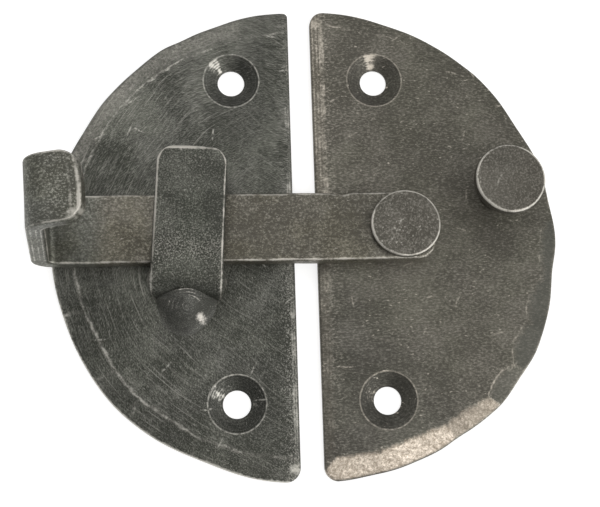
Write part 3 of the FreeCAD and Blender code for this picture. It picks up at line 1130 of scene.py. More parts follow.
@dataclass
class Keeper:
    """J-bent strip on the keep plate, swollen at its bend, with a domed weld bead at its foot.

    Attributes:
        strip: sizes of the flat bar.
        turn: how far it is turned clockwise on the plate.
        leg: length of the front leg from the outer face of the foot.
        corner, bulge: corner radius of the leg's end, and how far its middle stands out.
        front_gap, floor_gap: room between the bar and the front leg, and between the bar and the foot.
        sunk: how far the foot and the weld reach into the plate.
        foot_corner, row_step: corner radius of the foot, and spacing of the strip's rows.
        swell: how much wider the inside of the bend is, by the distance from its middle.
        edge_loss, face_loss: depth and wavelength of the unevenness of the edges and of the faces.
        weld_side, weld_rise: half width and height of the weld.
        weld_front, weld_back: how far it runs out in front of the foot and under it.
        weld_offset: how far its middle stands in front of the foot.
        weld_ripple, ripple_depth: distance between its ripples, and their depth.
        crater: place of the crater, to the right and up from the weld's middle.
        crater_stretch, crater_dip: breadth of the crater over its height, and its depth and size.
    """

    strip: StripSizes
    turn: float = 3.2
    leg: float = 26.25
    corner: float = 3.0
    bulge: float = 0.35
    front_gap: float = 0.7
    floor_gap: float = 2.8
    sunk: float = 0.06
    foot_corner: float = 0.6
    row_step: float = 0.3
    swell: Bell = Bell(0.0, 2.6, 0.17)
    edge_loss: tuple[float, float] = (0.1, 8.0)
    face_loss: tuple[float, float] = (0.045, 6.0)
    weld_side: float = 5.3
    weld_front: float = 6.4
    weld_back: float = 4.2
    weld_rise: float = 6.4
    weld_offset: float = 0.35
    weld_ripple: float = 0.6
    ripple_depth: float = 0.07
    crater: tuple[float, float] = (0.3, -1.7)
    crater_stretch: float = 1.5
    crater_dip: Bell = Bell(0.0, 0.55, 0.35)

    def __post_init__(self) -> None:
        """Find the foot from the bar, the plate and the keeper's own box in the frame."""
        bar_low, _ = node_box("latch_bar")
        self.plate_top = float(node_box("keep_plate")[1][2])
        low, high = node_box("pivot_rivet")
        pivot_y = float(low[1] + high[1]) / 2
        self.front = float(bar_low[2]) + self.strip.thickness + self.front_gap
        self.inner_y = pivot_y - self.strip.width / 2 - self.floor_gap
        left = float(node_box("keeper")[0][0])
        self.root = np.array([left + self.foot_from_left(), self.inner_y])

    def foot_from_left(self) -> float:
        """Distance to the foot's middle from its outer left corner, which is the left end of the box."""
        turn = math.radians(self.turn)
        return self.strip.width / 2 * math.cos(turn) + self.strip.thickness * math.sin(turn)

    def placed(self, right: Array, up: Array, height: Array) -> Array:
        """Turn points about the foot and put them on the plate.

        Args:
            right: distance to the right of the foot's middle.
            up: distance up the plate from the foot's inner face.
            height: height above the back.

        Returns:
            Points with one more axis of three.
        """
        turn = -math.radians(self.turn)
        x = self.root[0] + right * math.cos(turn) - up * math.sin(turn)
        y = self.root[1] + right * math.sin(turn) + up * math.cos(turn)
        return np.stack([x, y, height], axis=-1)

    def build(self) -> bpy.types.Object:
        """Make the bent strip.

        Returns:
            The keeper.
        """
        strip = self.strip
        stand = self.front - strip.bend_radius - self.plate_top + self.sunk
        bend = strip.bend(90)
        leg = self.leg - strip.bend_radius - strip.thickness
        path = BendPath([Run(stand), bend, Run(leg)], 90.0, self.plate_top - self.sunk)
        blank = FlatStrip(strip.width, strip.thickness, strip.edge_round, 0.0, stand + bend.length + leg,
                          self.foot_corner, self.corner, self.bulge, self.row_step)
        along, across, through, wear = blank.flat()
        along = blank.bulged(along, across)
        half, thick = strip.width / 2, strip.thickness
        from_bend = along - (stand + 0.35 * bend.length)
        inner = 0.55 + 0.45 * through / (thick / 2)
        side = np.sign(across)
        inset = worn_away(along, SIDE_APART * side, *self.edge_loss, seed=15)
        dent = worn_away(along, across, *self.face_loss, seed=16)
        right = across * (1 + self.swell.at(from_bend) * inner) - side * inset * np.abs(across) / half
        ahead, height = path.place(along, through - np.sign(through) * dent)
        points = self.placed(right, -ahead - thick / 2, height)
        ear = ramp(np.abs(across) - half, start=-1.1, length=0.5) * (through < 0.2 * thick)
        ear = ear * Bell(0.5, 3.4).at(from_bend)
        right_wear, left_wear = 0.95, 1.35
        worn = np.maximum(wear, 0.42 * ear) * np.where(across > 0, right_wear, left_wear)
        specks = 0.2 * ear + Bell(6.4, 2.4, 0.22).at(from_bend) * (through < -0.3 * thick)
        layers = {Layer.WEAR: worn, Layer.SPECKS: specks}
        return SurfaceGrid.capped(points, layers).to_object("keeper_forged")

    def build_weld(self) -> bpy.types.Object:
        """Make the weld: a mound rise (1 - q^2)^n with ripples round a crater.

        q is the share of the way out, and n grows from the sides to the front, where the mound runs out flat.

        Returns:
            The weld.
        """
        columns, rows, innermost, crease = 220, 96, 0.012, 60.0
        turn = full_turn(columns)
        share = np.linspace(innermost, 1, rows)[:, None]
        lumpy = 1 + 0.06 * soft_noise(2 * np.cos(turn), 2 * np.sin(turn), 2.0, seed=21)
        reach = np.where(np.sin(turn) > 0, self.weld_back, self.weld_front)
        right = self.weld_side * share * np.cos(turn) * lumpy
        up = reach * share * np.sin(turn) * lumpy
        away = np.hypot((right - self.crater[0]) / self.crater_stretch, up - self.crater[1])
        away = away + 0.14 * soft_noise(right, up, 2.6, seed=22)
        strength = 0.7 + 0.45 * soft_noise(right, up, 3.0, seed=23)
        ripple = np.cos(2 * np.pi * away / self.weld_ripple) * strength
        fade = np.clip(1.05 - 1.3 * share**2, 0, 1)
        at_sides, added_in_front = 0.55, 1.75
        exponent = at_sides + added_in_front * np.clip(-1.6 * np.sin(turn), 0, 1) ** 0.7
        mound = self.weld_rise * np.clip(1 - share**2, 0, 1) ** exponent
        mound = mound + self.ripple_depth * ripple * fade - self.crater_dip.at(away)
        ground = self.plate_top - self.sunk
        shift = self.strip.thickness + self.weld_offset
        points = self.placed(right, up - shift, ground + np.clip(mound, 0, None))
        base = self.placed(np.array(0.0), np.array(-shift), np.array(ground))
        # Painted highlights in the wear layer: a bright spot on the lower right flank, and the crests of the
        # upper ripples.
        glint_right, glint_up = 2.7, -3.0
        glint = Bell(0.0, 1.2, 0.84).at(np.hypot(right - glint_right, up - glint_up))
        above = np.clip((up - self.crater[1]) / 1.5 + 0.6, 0.35, 1)
        crests = 0.5 * np.clip(1.5 * ripple - 0.2, 0, 1) * fade * above
        layers = {Layer.WEAR: np.maximum(crests, glint)}
        return SurfaceGrid(points, points[0].mean(0), base, layers).to_object("keeper_weld", crease)


@dataclass
class HeadedPin:
    """Turned pin with a flat worn head, a stem on the door plate and a tenon peened at the back.

    Attributes:
        name, node: names of the piece and of the piece of the frame that it stands for.
        head, stem, neck: thickness of the head, radius of the stem, and radius of the hollow between them.
        seed: start of the random draw for its unevenness.
        specks: how far the skin is off the face in specks.
        oval: height of the head as a share of its width.
        tenon, peen: radius of the tenon, and height and spread of its peened end.
        edge, wobble: rounding of the head's upper edge, and unevenness of its roundness.
    """

    name: str
    node: str
    head: float
    stem: float
    neck: float
    seed: int
    specks: float
    oval: float
    tenon: float = 2.4
    peen: float = 0.7
    edge: float = 0.45
    wobble: float = 0.006

    def build(self) -> bpy.types.Object:
        """Make the pin as one surface of revolution.

        Returns:
            The pin.
        """
        low, high = node_box(self.node)
        centre = (low + high)[:2] / 2
        radius = float(high[0] - low[0]) / 2
        plate_top = float(node_box("door_plate")[1][2])
        top = float(high[2])
        under = top - self.head
        root, tight, steps = plate_top - 0.03, 0.05, 144
        profile = dense_profile([
            (0, top - 0.02, 0), (radius * 0.55, top, 2.0), (radius, top - 0.06, self.edge),
            (radius, under, 0.25), (self.stem, under, self.neck), (self.stem, root, tight),
            (self.tenon, root, tight), (self.tenon, self.peen, tight),
            (self.tenon + self.peen, 0, tight), (0, 0, 0),
        ])
        grid = turned(profile, centre, steps, self.wobble, self.seed)
        turn = full_turn(steps)
        out, height = profile[1:-1].T
        rim = np.hypot(out - radius + 0.15, height - top + 0.15)
        broadest = 3.9
        breadth = 0.16 + 0.07 * np.cos(turn - broadest)
        ring = Bell(0.0, breadth).at(np.clip(rim - 0.12, 0, None)[:, None])
        shine = 0.86 + 0.26 * soft_noise(3 * np.cos(turn), 3 * np.sin(turn), 2.4, self.seed)
        shine = shine - 0.06 * np.sin(turn)
        squeeze = 1 - (1 - self.oval) * ramp(out, self.stem, radius - self.stem)[:, None]
        grid.points[..., 1] = centre[1] + (grid.points[..., 1] - centre[1]) * squeeze
        face = (out < radius - 0.5) & (height > top - 0.2)
        grid.layers[Layer.WEAR] = ring * shine
        grid.layers[Layer.SPECKS] = self.specks * face[:, None] * np.ones_like(turn)
        return grid.to_object(self.name)


class Graph:
    """Short-hand for one node tree: adds nodes, sets their sockets and links them."""

    def __init__(self, tree: Tree) -> None:
        """Keep the tree."""
        self.tree = tree

    @classmethod
    def fresh(cls, owner: bpy.types.Material | bpy.types.World) -> "Graph":
        """Empty graph of a material or a world.

        Args:
            owner: the material or world.

        Returns:
            Its graph.
        """
        owner.use_nodes = True
        owner.node_tree.nodes.clear()
        return cls(owner.node_tree)

    def add(self, kind: str, inputs: dict | None = None, **settings: object) -> bpy.types.Node:
        """Add one node.

        Args:
            kind: type name of the node.
            inputs: socket name or number to a value or to another node's output.
            settings: properties of the node.

        Returns:
            The node.
        """
        node = self.tree.nodes.new(kind)
        for name, value in settings.items():
            setattr(node, name, value)
        for name, value in (inputs or {}).items():
            if isinstance(value, Socket):
                self.tree.links.new(value, node.inputs[name])
            else:
                node.inputs[name].default_value = value
        return node

    def math(self, operation: str, *values: object, clamp: bool = False) -> Socket:
        """Result of a math node on one to three values or sockets."""
        given = dict(enumerate(values))
        return self.add("ShaderNodeMath", given, operation=operation, use_clamp=clamp).outputs[0]

    def times(self, a: object, b: object, clamp: bool = False) -> Socket:
        """Product of two values or sockets."""
        return self.math("MULTIPLY", a, b, clamp=clamp)

    def most(self, a: object, b: object) -> Socket:
        """Larger of two values or sockets."""
        return self.math("MAXIMUM", a, b)

    def vector(self, operation: str, *values: object) -> Socket:
        """Vector that a vector math node gives."""
        return self.add("ShaderNodeVectorMath", dict(enumerate(values)), operation=operation).outputs[0]

    def measure(self, operation: str, *values: object) -> Socket:
        """Number that a vector math node gives: a length or a dot product."""
        return self.add("ShaderNodeVectorMath", dict(enumerate(values)), operation=operation).outputs["Value"]

    def flat(self, place: Socket) -> Socket:
        """Place with its height taken away."""
        return self.vector("MULTIPLY", place, (1, 1, 0))

    def axis(self, place: Socket, number: int) -> Socket:
        """Coordinate of a place along X, Y or Z, by number."""
        return self.add("ShaderNodeSeparateXYZ", {0: place}).outputs[number]

    def joined(self, *values: object) -> Socket:
        """Place from its coordinates."""
        return self.add("ShaderNodeCombineXYZ", dict(enumerate(values))).outputs[0]

    def layer(self, layer: Layer) -> Socket:
        """Value of a vertex layer."""
        return self.add("ShaderNodeAttribute", attribute_name=layer.value).outputs["Fac"]

    def group(self, tree: Tree, inputs: dict) -> dict[str, Socket]:
        """Outputs of a shared node group, by name."""
        node = self.add("ShaderNodeGroup", inputs, node_tree=tree)
        return {socket.name: socket for socket in node.outputs}

    def span(self, value: object, low: float, high: float, start: float = 0.0, stop: float = 1.0) -> Socket:
        """Smooth step of a value from `low`..`high` to `start`..`stop`."""
        given = {"Value": value, "From Min": low, "From Max": high, "To Min": start, "To Max": stop}
        return self.add("ShaderNodeMapRange", given, interpolation_type="SMOOTHSTEP").outputs[0]

    def blend(self, share: object, a: object, b: object, kind: str = "MIX") -> Socket:
        """Mix of two colours by a share."""
        a, b = ((*value, 1.0) if isinstance(value, tuple) else value for value in (a, b))
        return self.add("ShaderNodeMix", {0: share, 6: a, 7: b}, data_type="RGBA", blend_type=kind).outputs[2]

    def noise(self, place: object, scale: float, detail: float = 3.0, rough: float = 0.55) -> Socket:
        """Noise value at a place, with `scale` features to the millimetre."""
        given = {"Vector": place, "Scale": scale, "Detail": detail, "Roughness": rough}
        return self.add("ShaderNodeTexNoise", given).outputs[0]

    def give(self, values: dict[str, Socket]) -> Tree:
        """End a group that puts out these values.

        Args:
            values: name of each output and the socket that feeds it.

        Returns:
            The group.
        """
        for label in values:
            self.tree.interface.new_socket(label, in_out="OUTPUT", socket_type=FLOAT)
        self.add("NodeGroupOutput", values)
        return self.tree


def effect_group(name: str, inputs: dict[str, str]) -> tuple[Graph, list[Socket]]:
    """Start a shader node group.

    Args:
        name: name of the group.
        inputs: name and socket type of each input.

    Returns:
        Graph of the group, and its input sockets in order.
    """
    graph = Graph(bpy.data.node_groups.new(name, "ShaderNodeTree"))
    for label, kind in inputs.items():
        graph.tree.interface.new_socket(label, in_out="INPUT", socket_type=kind)
    entry = graph.add("NodeGroupInput")
    return graph, [entry.outputs[label] for label in inputs]


class SteelEffects:
    """Node groups that the steel finishes share."""

    def __init__(self) -> None:
        """Build each group once."""
        self.skin = self.make_skin()
        self.arcs = self.make_arcs()
        self.scratches = self.make_scratches(self.arcs)
        self.nicks = self.make_nicks()
        self.wear = self.make_wear()
        self.sinks = self.make_sinks()

    @staticmethod
    def make_skin() -> Tree:
        """Forge skin: broad patches, a hue drift, and a close grain of light grains on a dark ground.

        Returns:
            Group with outputs Mottle, Drift, Grain and Flecks.
        """
        graph, (place, fine, density) = effect_group(
            "forge_skin", {"Place": VECTOR, "Grain Place": VECTOR, "Density": FLOAT})
        broad = graph.times(graph.noise(place, 0.07, 3.0, 0.6), 0.65)
        mixed = graph.math("MULTIPLY_ADD", graph.noise(place, 0.3, 4.0, 0.62), 0.35, broad)
        moved = graph.vector("ADD", place, (37.0, -11.0, 5.0))
        grain = graph.span(graph.noise(fine, 2.5, 2.0, 0.7), 0.34, 0.84)
        flecks = graph.noise(graph.vector("ADD", fine, (9.0, 3.0, 1.0)), 1.7, 1.0, 0.5)
        crowd = graph.math("MULTIPLY_ADD", graph.noise(moved, 0.22, 2.0), 0.3, flecks)
        return graph.give({
            "Mottle": graph.span(mixed, 0.34, 0.66),
            "Drift": graph.span(graph.noise(moved, 0.11), 0.38, 0.62),
            "Grain": graph.math("POWER", grain, 1.2),
            "Flecks": graph.span(graph.math("ADD", crowd, density), 0.83, 0.96),
        })

    @staticmethod
    def make_arcs() -> Tree:
        """Distance from a centre, made a little wavy, and distance round it from below.

        Returns:
            Group with outputs Across and Along.
        """
        graph, (place, centre) = effect_group("arc_place", {"Place": VECTOR, "Centre": VECTOR})
        arm = graph.vector("SUBTRACT", place, centre)
        radius = graph.measure("LENGTH", graph.flat(arm))
        angle = graph.math("ARCTAN2", graph.axis(arm, 0), graph.times(graph.axis(arm, 1), -1.0))
        bend = graph.times(graph.noise(place, 0.045, 1.0), 6.0)
        return graph.give({"Across": graph.math("ADD", radius, bend), "Along": graph.times(angle, radius)})

    @staticmethod
    def make_scratches(arcs: Tree) -> Tree:
        """Fine scratches that run round a centre: noise that is short across the arc and long along it.

        A far centre makes them straight.

        Args:
            arcs: group that gives the place on the arcs.

        Returns:
            Group with outputs Fine and Deep.
        """
        graph, (place, centre) = effect_group("arc_scratches", {"Place": VECTOR, "Centre": VECTOR})
        arc = graph.group(arcs, {"Place": place, "Centre": centre})
        given = {}
        for label, fine, long, low, high in (("Fine", 3.4, 0.16, 0.5, 0.7), ("Deep", 2.6, 0.06, 0.61, 0.7)):
            stretched = graph.joined(graph.times(arc["Across"], fine), graph.times(arc["Along"], long))
            given[label] = graph.span(graph.noise(stretched, 1.0, 2.0, 0.65), low, high)
        return graph.give(given)

    @staticmethod
    def make_nicks() -> Tree:
        """Stray short scratches: a curved stroke of its own direction in some cells of an uneven grid.

        Returns:
            Group with output Mask.
        """
        graph, (place, share) = effect_group("stray_nicks", {"Place": VECTOR, "Share": FLOAT})
        flat = graph.flat(place)
        cells = graph.add("ShaderNodeTexVoronoi", {"Vector": flat, "Scale": 0.16}, voronoi_dimensions="2D")
        draw = cells.outputs["Color"]
        given = {
            "Vector": graph.vector("SUBTRACT", flat, cells.outputs["Position"]),
            "Angle": graph.times(graph.axis(draw, 0), 2 * math.pi),
        }
        stroke = graph.add("ShaderNodeVectorRotate", given, rotation_type="Z_AXIS").outputs[0]
        along = graph.axis(stroke, 0)
        curve = graph.times(graph.times(along, along), 0.05)
        across = graph.math("ABSOLUTE", graph.math("SUBTRACT", graph.axis(stroke, 1), curve))
        length = graph.math("ABSOLUTE", along)
        line = graph.times(graph.span(across, 0.24, 0.05), graph.span(length, 1.5, 0.5))
        chosen = graph.math("LESS_THAN", graph.axis(draw, 1), share)
        rough = graph.span(graph.noise(place, 2.2, 2.0), 0.35, 0.6)
        return graph.give({"Mask": graph.times(graph.times(line, chosen), rough)})

    @staticmethod
    def make_wear() -> Tree:
        """Bright worn edges and painted glints, broken up by noise: a low value leaves specks, a high one an
        almost whole line.

        Returns:
            Group with output Mask.
        """
        graph, (place, amount) = effect_group("worn_edges_and_glints", {"Place": VECTOR, "Amount": FLOAT})
        held = graph.layer(Layer.WEAR)
        uneven = graph.math("ADD", graph.noise(place, 0.3, 2.0), -1.25)
        shift = graph.math("MULTIPLY_ADD", graph.noise(place, 1.7, 3.0, 0.75), 1.3, uneven)
        lifted = graph.math("ADD", held, shift)
        mask = graph.times(graph.span(lifted, 0.15, 0.85), graph.span(held, 0.02, 0.2))
        return graph.give({"Mask": graph.times(mask, amount)})

    @staticmethod
    def make_sinks() -> Tree:
        """Turning marks in the countersinks, which repeat in all four quarters of the latch.

        The place is folded to one quarter, so its distance from one hole's centre serves every hole.

        Returns:
            Group with outputs Rim, Inside and Rings.
        """
        graph, (place, hole, radius) = effect_group(
            "countersinks", {"Place": VECTOR, "Hole": VECTOR, "Radius": FLOAT})
        arm = graph.vector("SUBTRACT", graph.vector("ABSOLUTE", place), hole)
        away = graph.math("SUBTRACT", graph.measure("LENGTH", graph.flat(arm)), radius)
        return graph.give({
            "Rim": graph.span(graph.math("ABSOLUTE", away), 0.2, 0.05),
            "Inside": graph.span(away, 0.05, -0.25),
            "Rings": graph.noise(graph.joined(away), 4.2, 2.0, 0.6),
        })


@dataclass(frozen=True)
class Scratching:
    """One family of scratches.

    Attributes:
        centre: point that they run round; a far one makes them straight.
        strength: how bright they are.
        fade: where along X they fade in, from none to all.
    """

    centre: Place
    strength: float
    fade: tuple[float, float] = (-200.0, -100.0)


@dataclass(frozen=True)
class Tinge:
    """Tint that sets in along a heading.

    Attributes:
        colour: what the skin's colour is multiplied by.
        heading: direction in which it sets in.
        start: place along the heading where there is none of it.
        stop: place where it is whole.
    """

    colour: Colour
    heading: Place
    start: float
    stop: float


@dataclass(frozen=True)
class SteelFinish:
    """Dark waxed forged steel.

    Attributes:
        name: name of the material.
        dark, light: colours of the darker and of the lighter patches and grains.
        tint: colour that the skin drifts to in places.
        worn: colour where the skin is worn off, and of the painted glints.
        painted_sheen, sheen_ground: colours of the painted sheen on the hammer facets, and of the ground
            between its grains.
        facet_shade: colour of the painted shade on facets.
        shade: colour of the painted shade deep in the countersinks.
        scratches: families of scratches.
        fleck, density: strength of the bright flecks, and how close they lie.
        nicks: share of places with a stray nick.
        fineness: how fine the grain is along each axis, or across and along the brushing.
        brushed: centre that the grain is brushed round, or None if it isn't.
        wear: strength of the worn edges and of the painted glints.
        smooth, rough: roughness of the lighter and of the darker patches.
        bump: depth of the grain.
        tinge: tint of one end or side, or None if there is none.
        hole, sink_radius: centre of the countersink in the +X +Y quarter, or None, and its radius.
        metallic: how metallic the skin is.
    """

    name: str
    dark: Colour
    light: Colour
    tint: Colour
    worn: Colour = (0.58, 0.56, 0.51)
    painted_sheen: Colour = (0.6, 0.58, 0.53)
    sheen_ground: Colour = (0.17, 0.165, 0.15)
    facet_shade: Colour = (0.095, 0.098, 0.088)
    shade: Colour = (0.03, 0.03, 0.028)
    scratches: tuple[Scratching, ...] = ()
    fleck: float = 0.3
    density: float = 0.0
    nicks: float = 0.0
    fineness: tuple[float, float, float] = (1.0, 1.0, 1.0)
    brushed: Place | None = None
    wear: float = 0.9
    smooth: float = 0.38
    rough: float = 0.54
    bump: float = 0.4
    tinge: Tinge | None = None
    hole: Place | None = None
    sink_radius: float = 5.2
    metallic: float = 0.85

    def material(self, effects: SteelEffects) -> bpy.types.Material:
        """Build the material.

        Args:
            effects: shared node groups.

        Returns:
            The material.
        """
        made = bpy.data.materials.new(self.name)
        graph = Graph.fresh(made)
        where = graph.add("ShaderNodeTexCoord").outputs["Object"]
        place = graph.add("ShaderNodeVectorMath", {0: where, "Scale": 1 / MM}, operation="SCALE").outputs[0]
        fine = self.grain_place(graph, effects, place)
        skin = graph.group(effects.skin, {"Place": place, "Grain Place": fine, "Density": self.density})
        worn = graph.group(effects.wear, {"Place": place, "Amount": self.wear})

        patches = graph.math("MULTIPLY_ADD", skin["Mottle"], 0.4, -0.2)
        tone = graph.math("ADD", skin["Grain"], patches, clamp=True)
        colour = graph.blend(tone, self.dark, self.light)
        colour = graph.blend(graph.times(skin["Drift"], 0.7), colour, self.tint, "MULTIPLY")
        if self.tinge is not None:
            gone = graph.measure("DOT_PRODUCT", place, self.tinge.heading)
            share = graph.span(gone, self.tinge.start, self.tinge.stop)
            colour = graph.blend(share, colour, self.tinge.colour, "MULTIPLY")

        bright = graph.most(graph.times(skin["Flecks"], self.fleck), worn["Mask"])
        bright = graph.most(bright, self.rubbed(graph, skin["Grain"]))
        if self.nicks:
            stray = graph.group(effects.nicks, {"Place": place, "Share": self.nicks})
            bright = graph.most(bright, graph.times(stray["Mask"], 0.55))
        marks = self.marks(graph, effects, place)
        if self.hole is not None:
            given = {"Place": place, "Hole": self.hole, "Radius": self.sink_radius}
            sinks = graph.group(effects.sinks, given)
            inside = sinks["Inside"]
            marks = graph.times(marks, graph.math("SUBTRACT", 1.0, inside))
            broken = graph.span(graph.noise(place, 1.1, 4.0, 0.8), 0.34, 0.7, 0.1, 0.66)
            shine = graph.span(sinks["Rings"], 0.5, 0.75, 0.0, 0.14)
            # Painted shade deep in the countersinks.
            colour = graph.blend(graph.times(inside, 0.4), colour, self.shade)
            bright = graph.most(bright, graph.times(sinks["Rim"], broken))
            bright = graph.most(bright, graph.times(inside, shine))
        bright = graph.most(bright, marks)
        # Worn edges, flecks, nicks, scratches and countersink rims take the worn colour, and so do the
        # painted glints.
        colour = graph.blend(bright, colour, self.worn)

        # Painted sheen on the hammer facets: a brownish ground and bright grains; where the layer is
        # negative, painted shade.
        held, sheen = self.facet_sheen(graph, place)
        colour = graph.blend(graph.times(held, 0.8, True), colour, self.sheen_ground)
        colour = graph.blend(graph.times(held, -1.0, True), colour, self.facet_shade)
        colour = graph.blend(sheen, colour, self.painted_sheen)
        bright = graph.most(bright, sheen)
        level = graph.span(tone, 0.0, 1.0, self.rough, self.smooth)
        height = graph.math("MULTIPLY_ADD", skin["Mottle"], 0.4, graph.times(skin["Grain"], 0.5))
        height = graph.math("SUBTRACT", height, marks)
        relief = {"Strength": self.bump, "Distance": 0.05 * MM, "Height": height}
        shader = graph.add("ShaderNodeBsdfPrincipled", {
            "Base Color": colour,
            "Roughness": graph.math("MULTIPLY_ADD", bright, -0.1, level),
            "Metallic": graph.span(bright, 0.0, 1.0, self.metallic, 0.6 * self.metallic),
            "Normal": graph.add("ShaderNodeBump", relief).outputs[0],
        })
        graph.add("ShaderNodeOutputMaterial", {"Surface": shader.outputs[0]})
        return made

    def grain_place(self, graph: Graph, effects: SteelEffects, place: Socket) -> Socket:
        """Place that the grain is read at: scaled along the axes, or across and along the brushing.

        Args:
            graph: graph of the material.
            effects: shared node groups.
            place: place in millimetres.

        Returns:
            The place.
        """
        if self.brushed is not None:
            arc = graph.group(effects.arcs, {"Place": place, "Centre": self.brushed})
            place = graph.joined(arc["Across"], arc["Along"], graph.axis(place, 2))
        return graph.vector("MULTIPLY", place, self.fineness)

    @staticmethod
    def facet_sheen(graph: Graph, place: Socket) -> tuple[Socket, Socket]:
        """Painted sheen on the hammer facets: grains of painted highlight, close or sparse.

        Args:
            graph: graph of the material.
            place: place in millimetres.

        Returns:
            How far the layer gives painted sheen, or painted shade where negative, and the share of painted
            highlight.
        """
        held = graph.layer(Layer.PAINTED_SHEEN)
        lean = graph.math("MULTIPLY_ADD", held, 0.1, graph.noise(place, 1.9, 4.0, 0.75))
        sparkle = graph.span(graph.noise(place, 4.2, 2.0, 0.7), 0.34, 0.66, 0.5, 1.15)
        cloudy = graph.span(graph.noise(place, 0.7, 3.0, 0.6), 0.35, 0.65, 0.7, 1.2)
        streaks = graph.times(graph.span(lean, 0.36, 0.78), graph.times(sparkle, cloudy))
        return held, graph.times(held, streaks, True)

    @staticmethod
    def rubbed(graph: Graph, grain: Socket) -> Socket:
        """Specks where the skin is rubbed off the light grains.

        Args:
            graph: graph of the material.
            grain: height of the grains.

        Returns:
            Share of bright metal.
        """
        held = graph.layer(Layer.SPECKS)
        lifted = graph.math("MULTIPLY_ADD", held, 0.6, grain)
        return graph.times(graph.math("SQRT", held), graph.span(lifted, 0.15, 0.95))

    def marks(self, graph: Graph, effects: SteelEffects, place: Socket) -> Socket | float:
        """Join the families of scratches.

        Args:
            graph: graph of the material.
            effects: shared node groups.
            place: place in millimetres.

        Returns:
            Strength of the scratches.
        """
        strongest = 0.0
        for family in self.scratches:
            lines = graph.group(effects.scratches, {"Place": place, "Centre": family.centre})
            both = graph.most(graph.times(lines["Fine"], 0.5), lines["Deep"])
            share = graph.span(graph.axis(place, 0), *family.fade, 0.0, family.strength)
            strongest = graph.most(strongest, graph.times(both, share))
        return strongest


PLATE_LEFT = SteelFinish(
    "waxed_keep_plate", (0.052, 0.054, 0.047), (0.3, 0.302, 0.273), (0.92, 0.94, 0.9),
    worn=(0.7, 0.685, 0.63), fleck=0.33, nicks=0.3, fineness=(1.85, 1.55, 1.1), brushed=(-2.0, 0.0, 0.0),
    scratches=(
        Scratching((-2.0, 0.0, 0.0), 0.25, (-2.0, -20.0)),
        Scratching((2300.0, 3300.0, 0.0), 0.17, (-24.0, -10.0)),
    ),
)
# The painted sheen on the facets at its foot takes these sheen colours.
PLATE_RIGHT = SteelFinish(
    "waxed_door_plate", (0.102, 0.097, 0.082), (0.312, 0.297, 0.257), (0.88, 0.9, 0.86),
    worn=(0.58, 0.535, 0.465), painted_sheen=(0.78, 0.7, 0.61), sheen_ground=(0.26, 0.215, 0.165),
    fleck=0.75, nicks=0.2, fineness=(0.65, 1.3, 1.0),
    scratches=(Scratching((2.0, -60.0, 0.0), 0.1),),
    tinge=Tinge((0.8, 0.81, 0.83), (-0.8, -0.6, 0.0), -10.0, 9.0),
)
BAR_STEEL = SteelFinish(
    "waxed_bar", (0.104, 0.098, 0.082), (0.365, 0.348, 0.299), (0.93, 0.92, 0.84),
    fleck=0.5, fineness=(1.0, 1.25, 1.0),
    scratches=(Scratching((0.0, 4000.0, 0.0), 0.08),),
    tinge=Tinge((0.94, 1.01, 1.05), (1.0, 0.0, 0.0), -35.0, -40.0),
)
KEEPER_STEEL = SteelFinish(
    "waxed_keeper", (0.056, 0.058, 0.05), (0.26, 0.264, 0.234), (0.95, 0.98, 0.95),
    density=0.03, fineness=(1.45, 1.45, 1.45),
)
# Its worn colour is that of the painted highlights on the weld.
WELD_STEEL = SteelFinish(
    "weld_bead", (0.055, 0.056, 0.05), (0.235, 0.236, 0.213), (0.95, 0.96, 0.93),
    worn=(0.95, 0.91, 0.84), fineness=(1.7, 1.7, 1.7), smooth=0.45, rough=0.6, metallic=0.25,
)
PIN_STEEL = SteelFinish(
    "waxed_pins", (0.1, 0.095, 0.081), (0.265, 0.252, 0.222), (0.94, 0.93, 0.92),
    fleck=0.7, density=0.02, nicks=0.3, fineness=(1.2, 1.2, 1.2), wear=1.0,
)
KNOB_STEEL = replace(PIN_STEEL, name="waxed_knob", fleck=0.4, density=-0.03, nicks=0.4)


def dress(
    piece: bpy.types.Object, finish: SteelFinish, effects: SteelEffects, node: str, body: Body,
) -> None:
    """Give a piece its finish and tie it to the frame.

    Args:
        piece: finished object.
        finish: what it is made of.
        effects: shared node groups.
        node: piece of the frame that it stands for.
        body: body that it moves with.
    """
    made = bpy.data.materials.get(finish.name) or finish.material(effects)
    piece.data.materials.clear()
    piece.data.materials.append(made)
    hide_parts(node)
    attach(piece, body.value)
    LOG.info("%s: %d faces on %s", piece.name, len(piece.data.polygons), body.value)


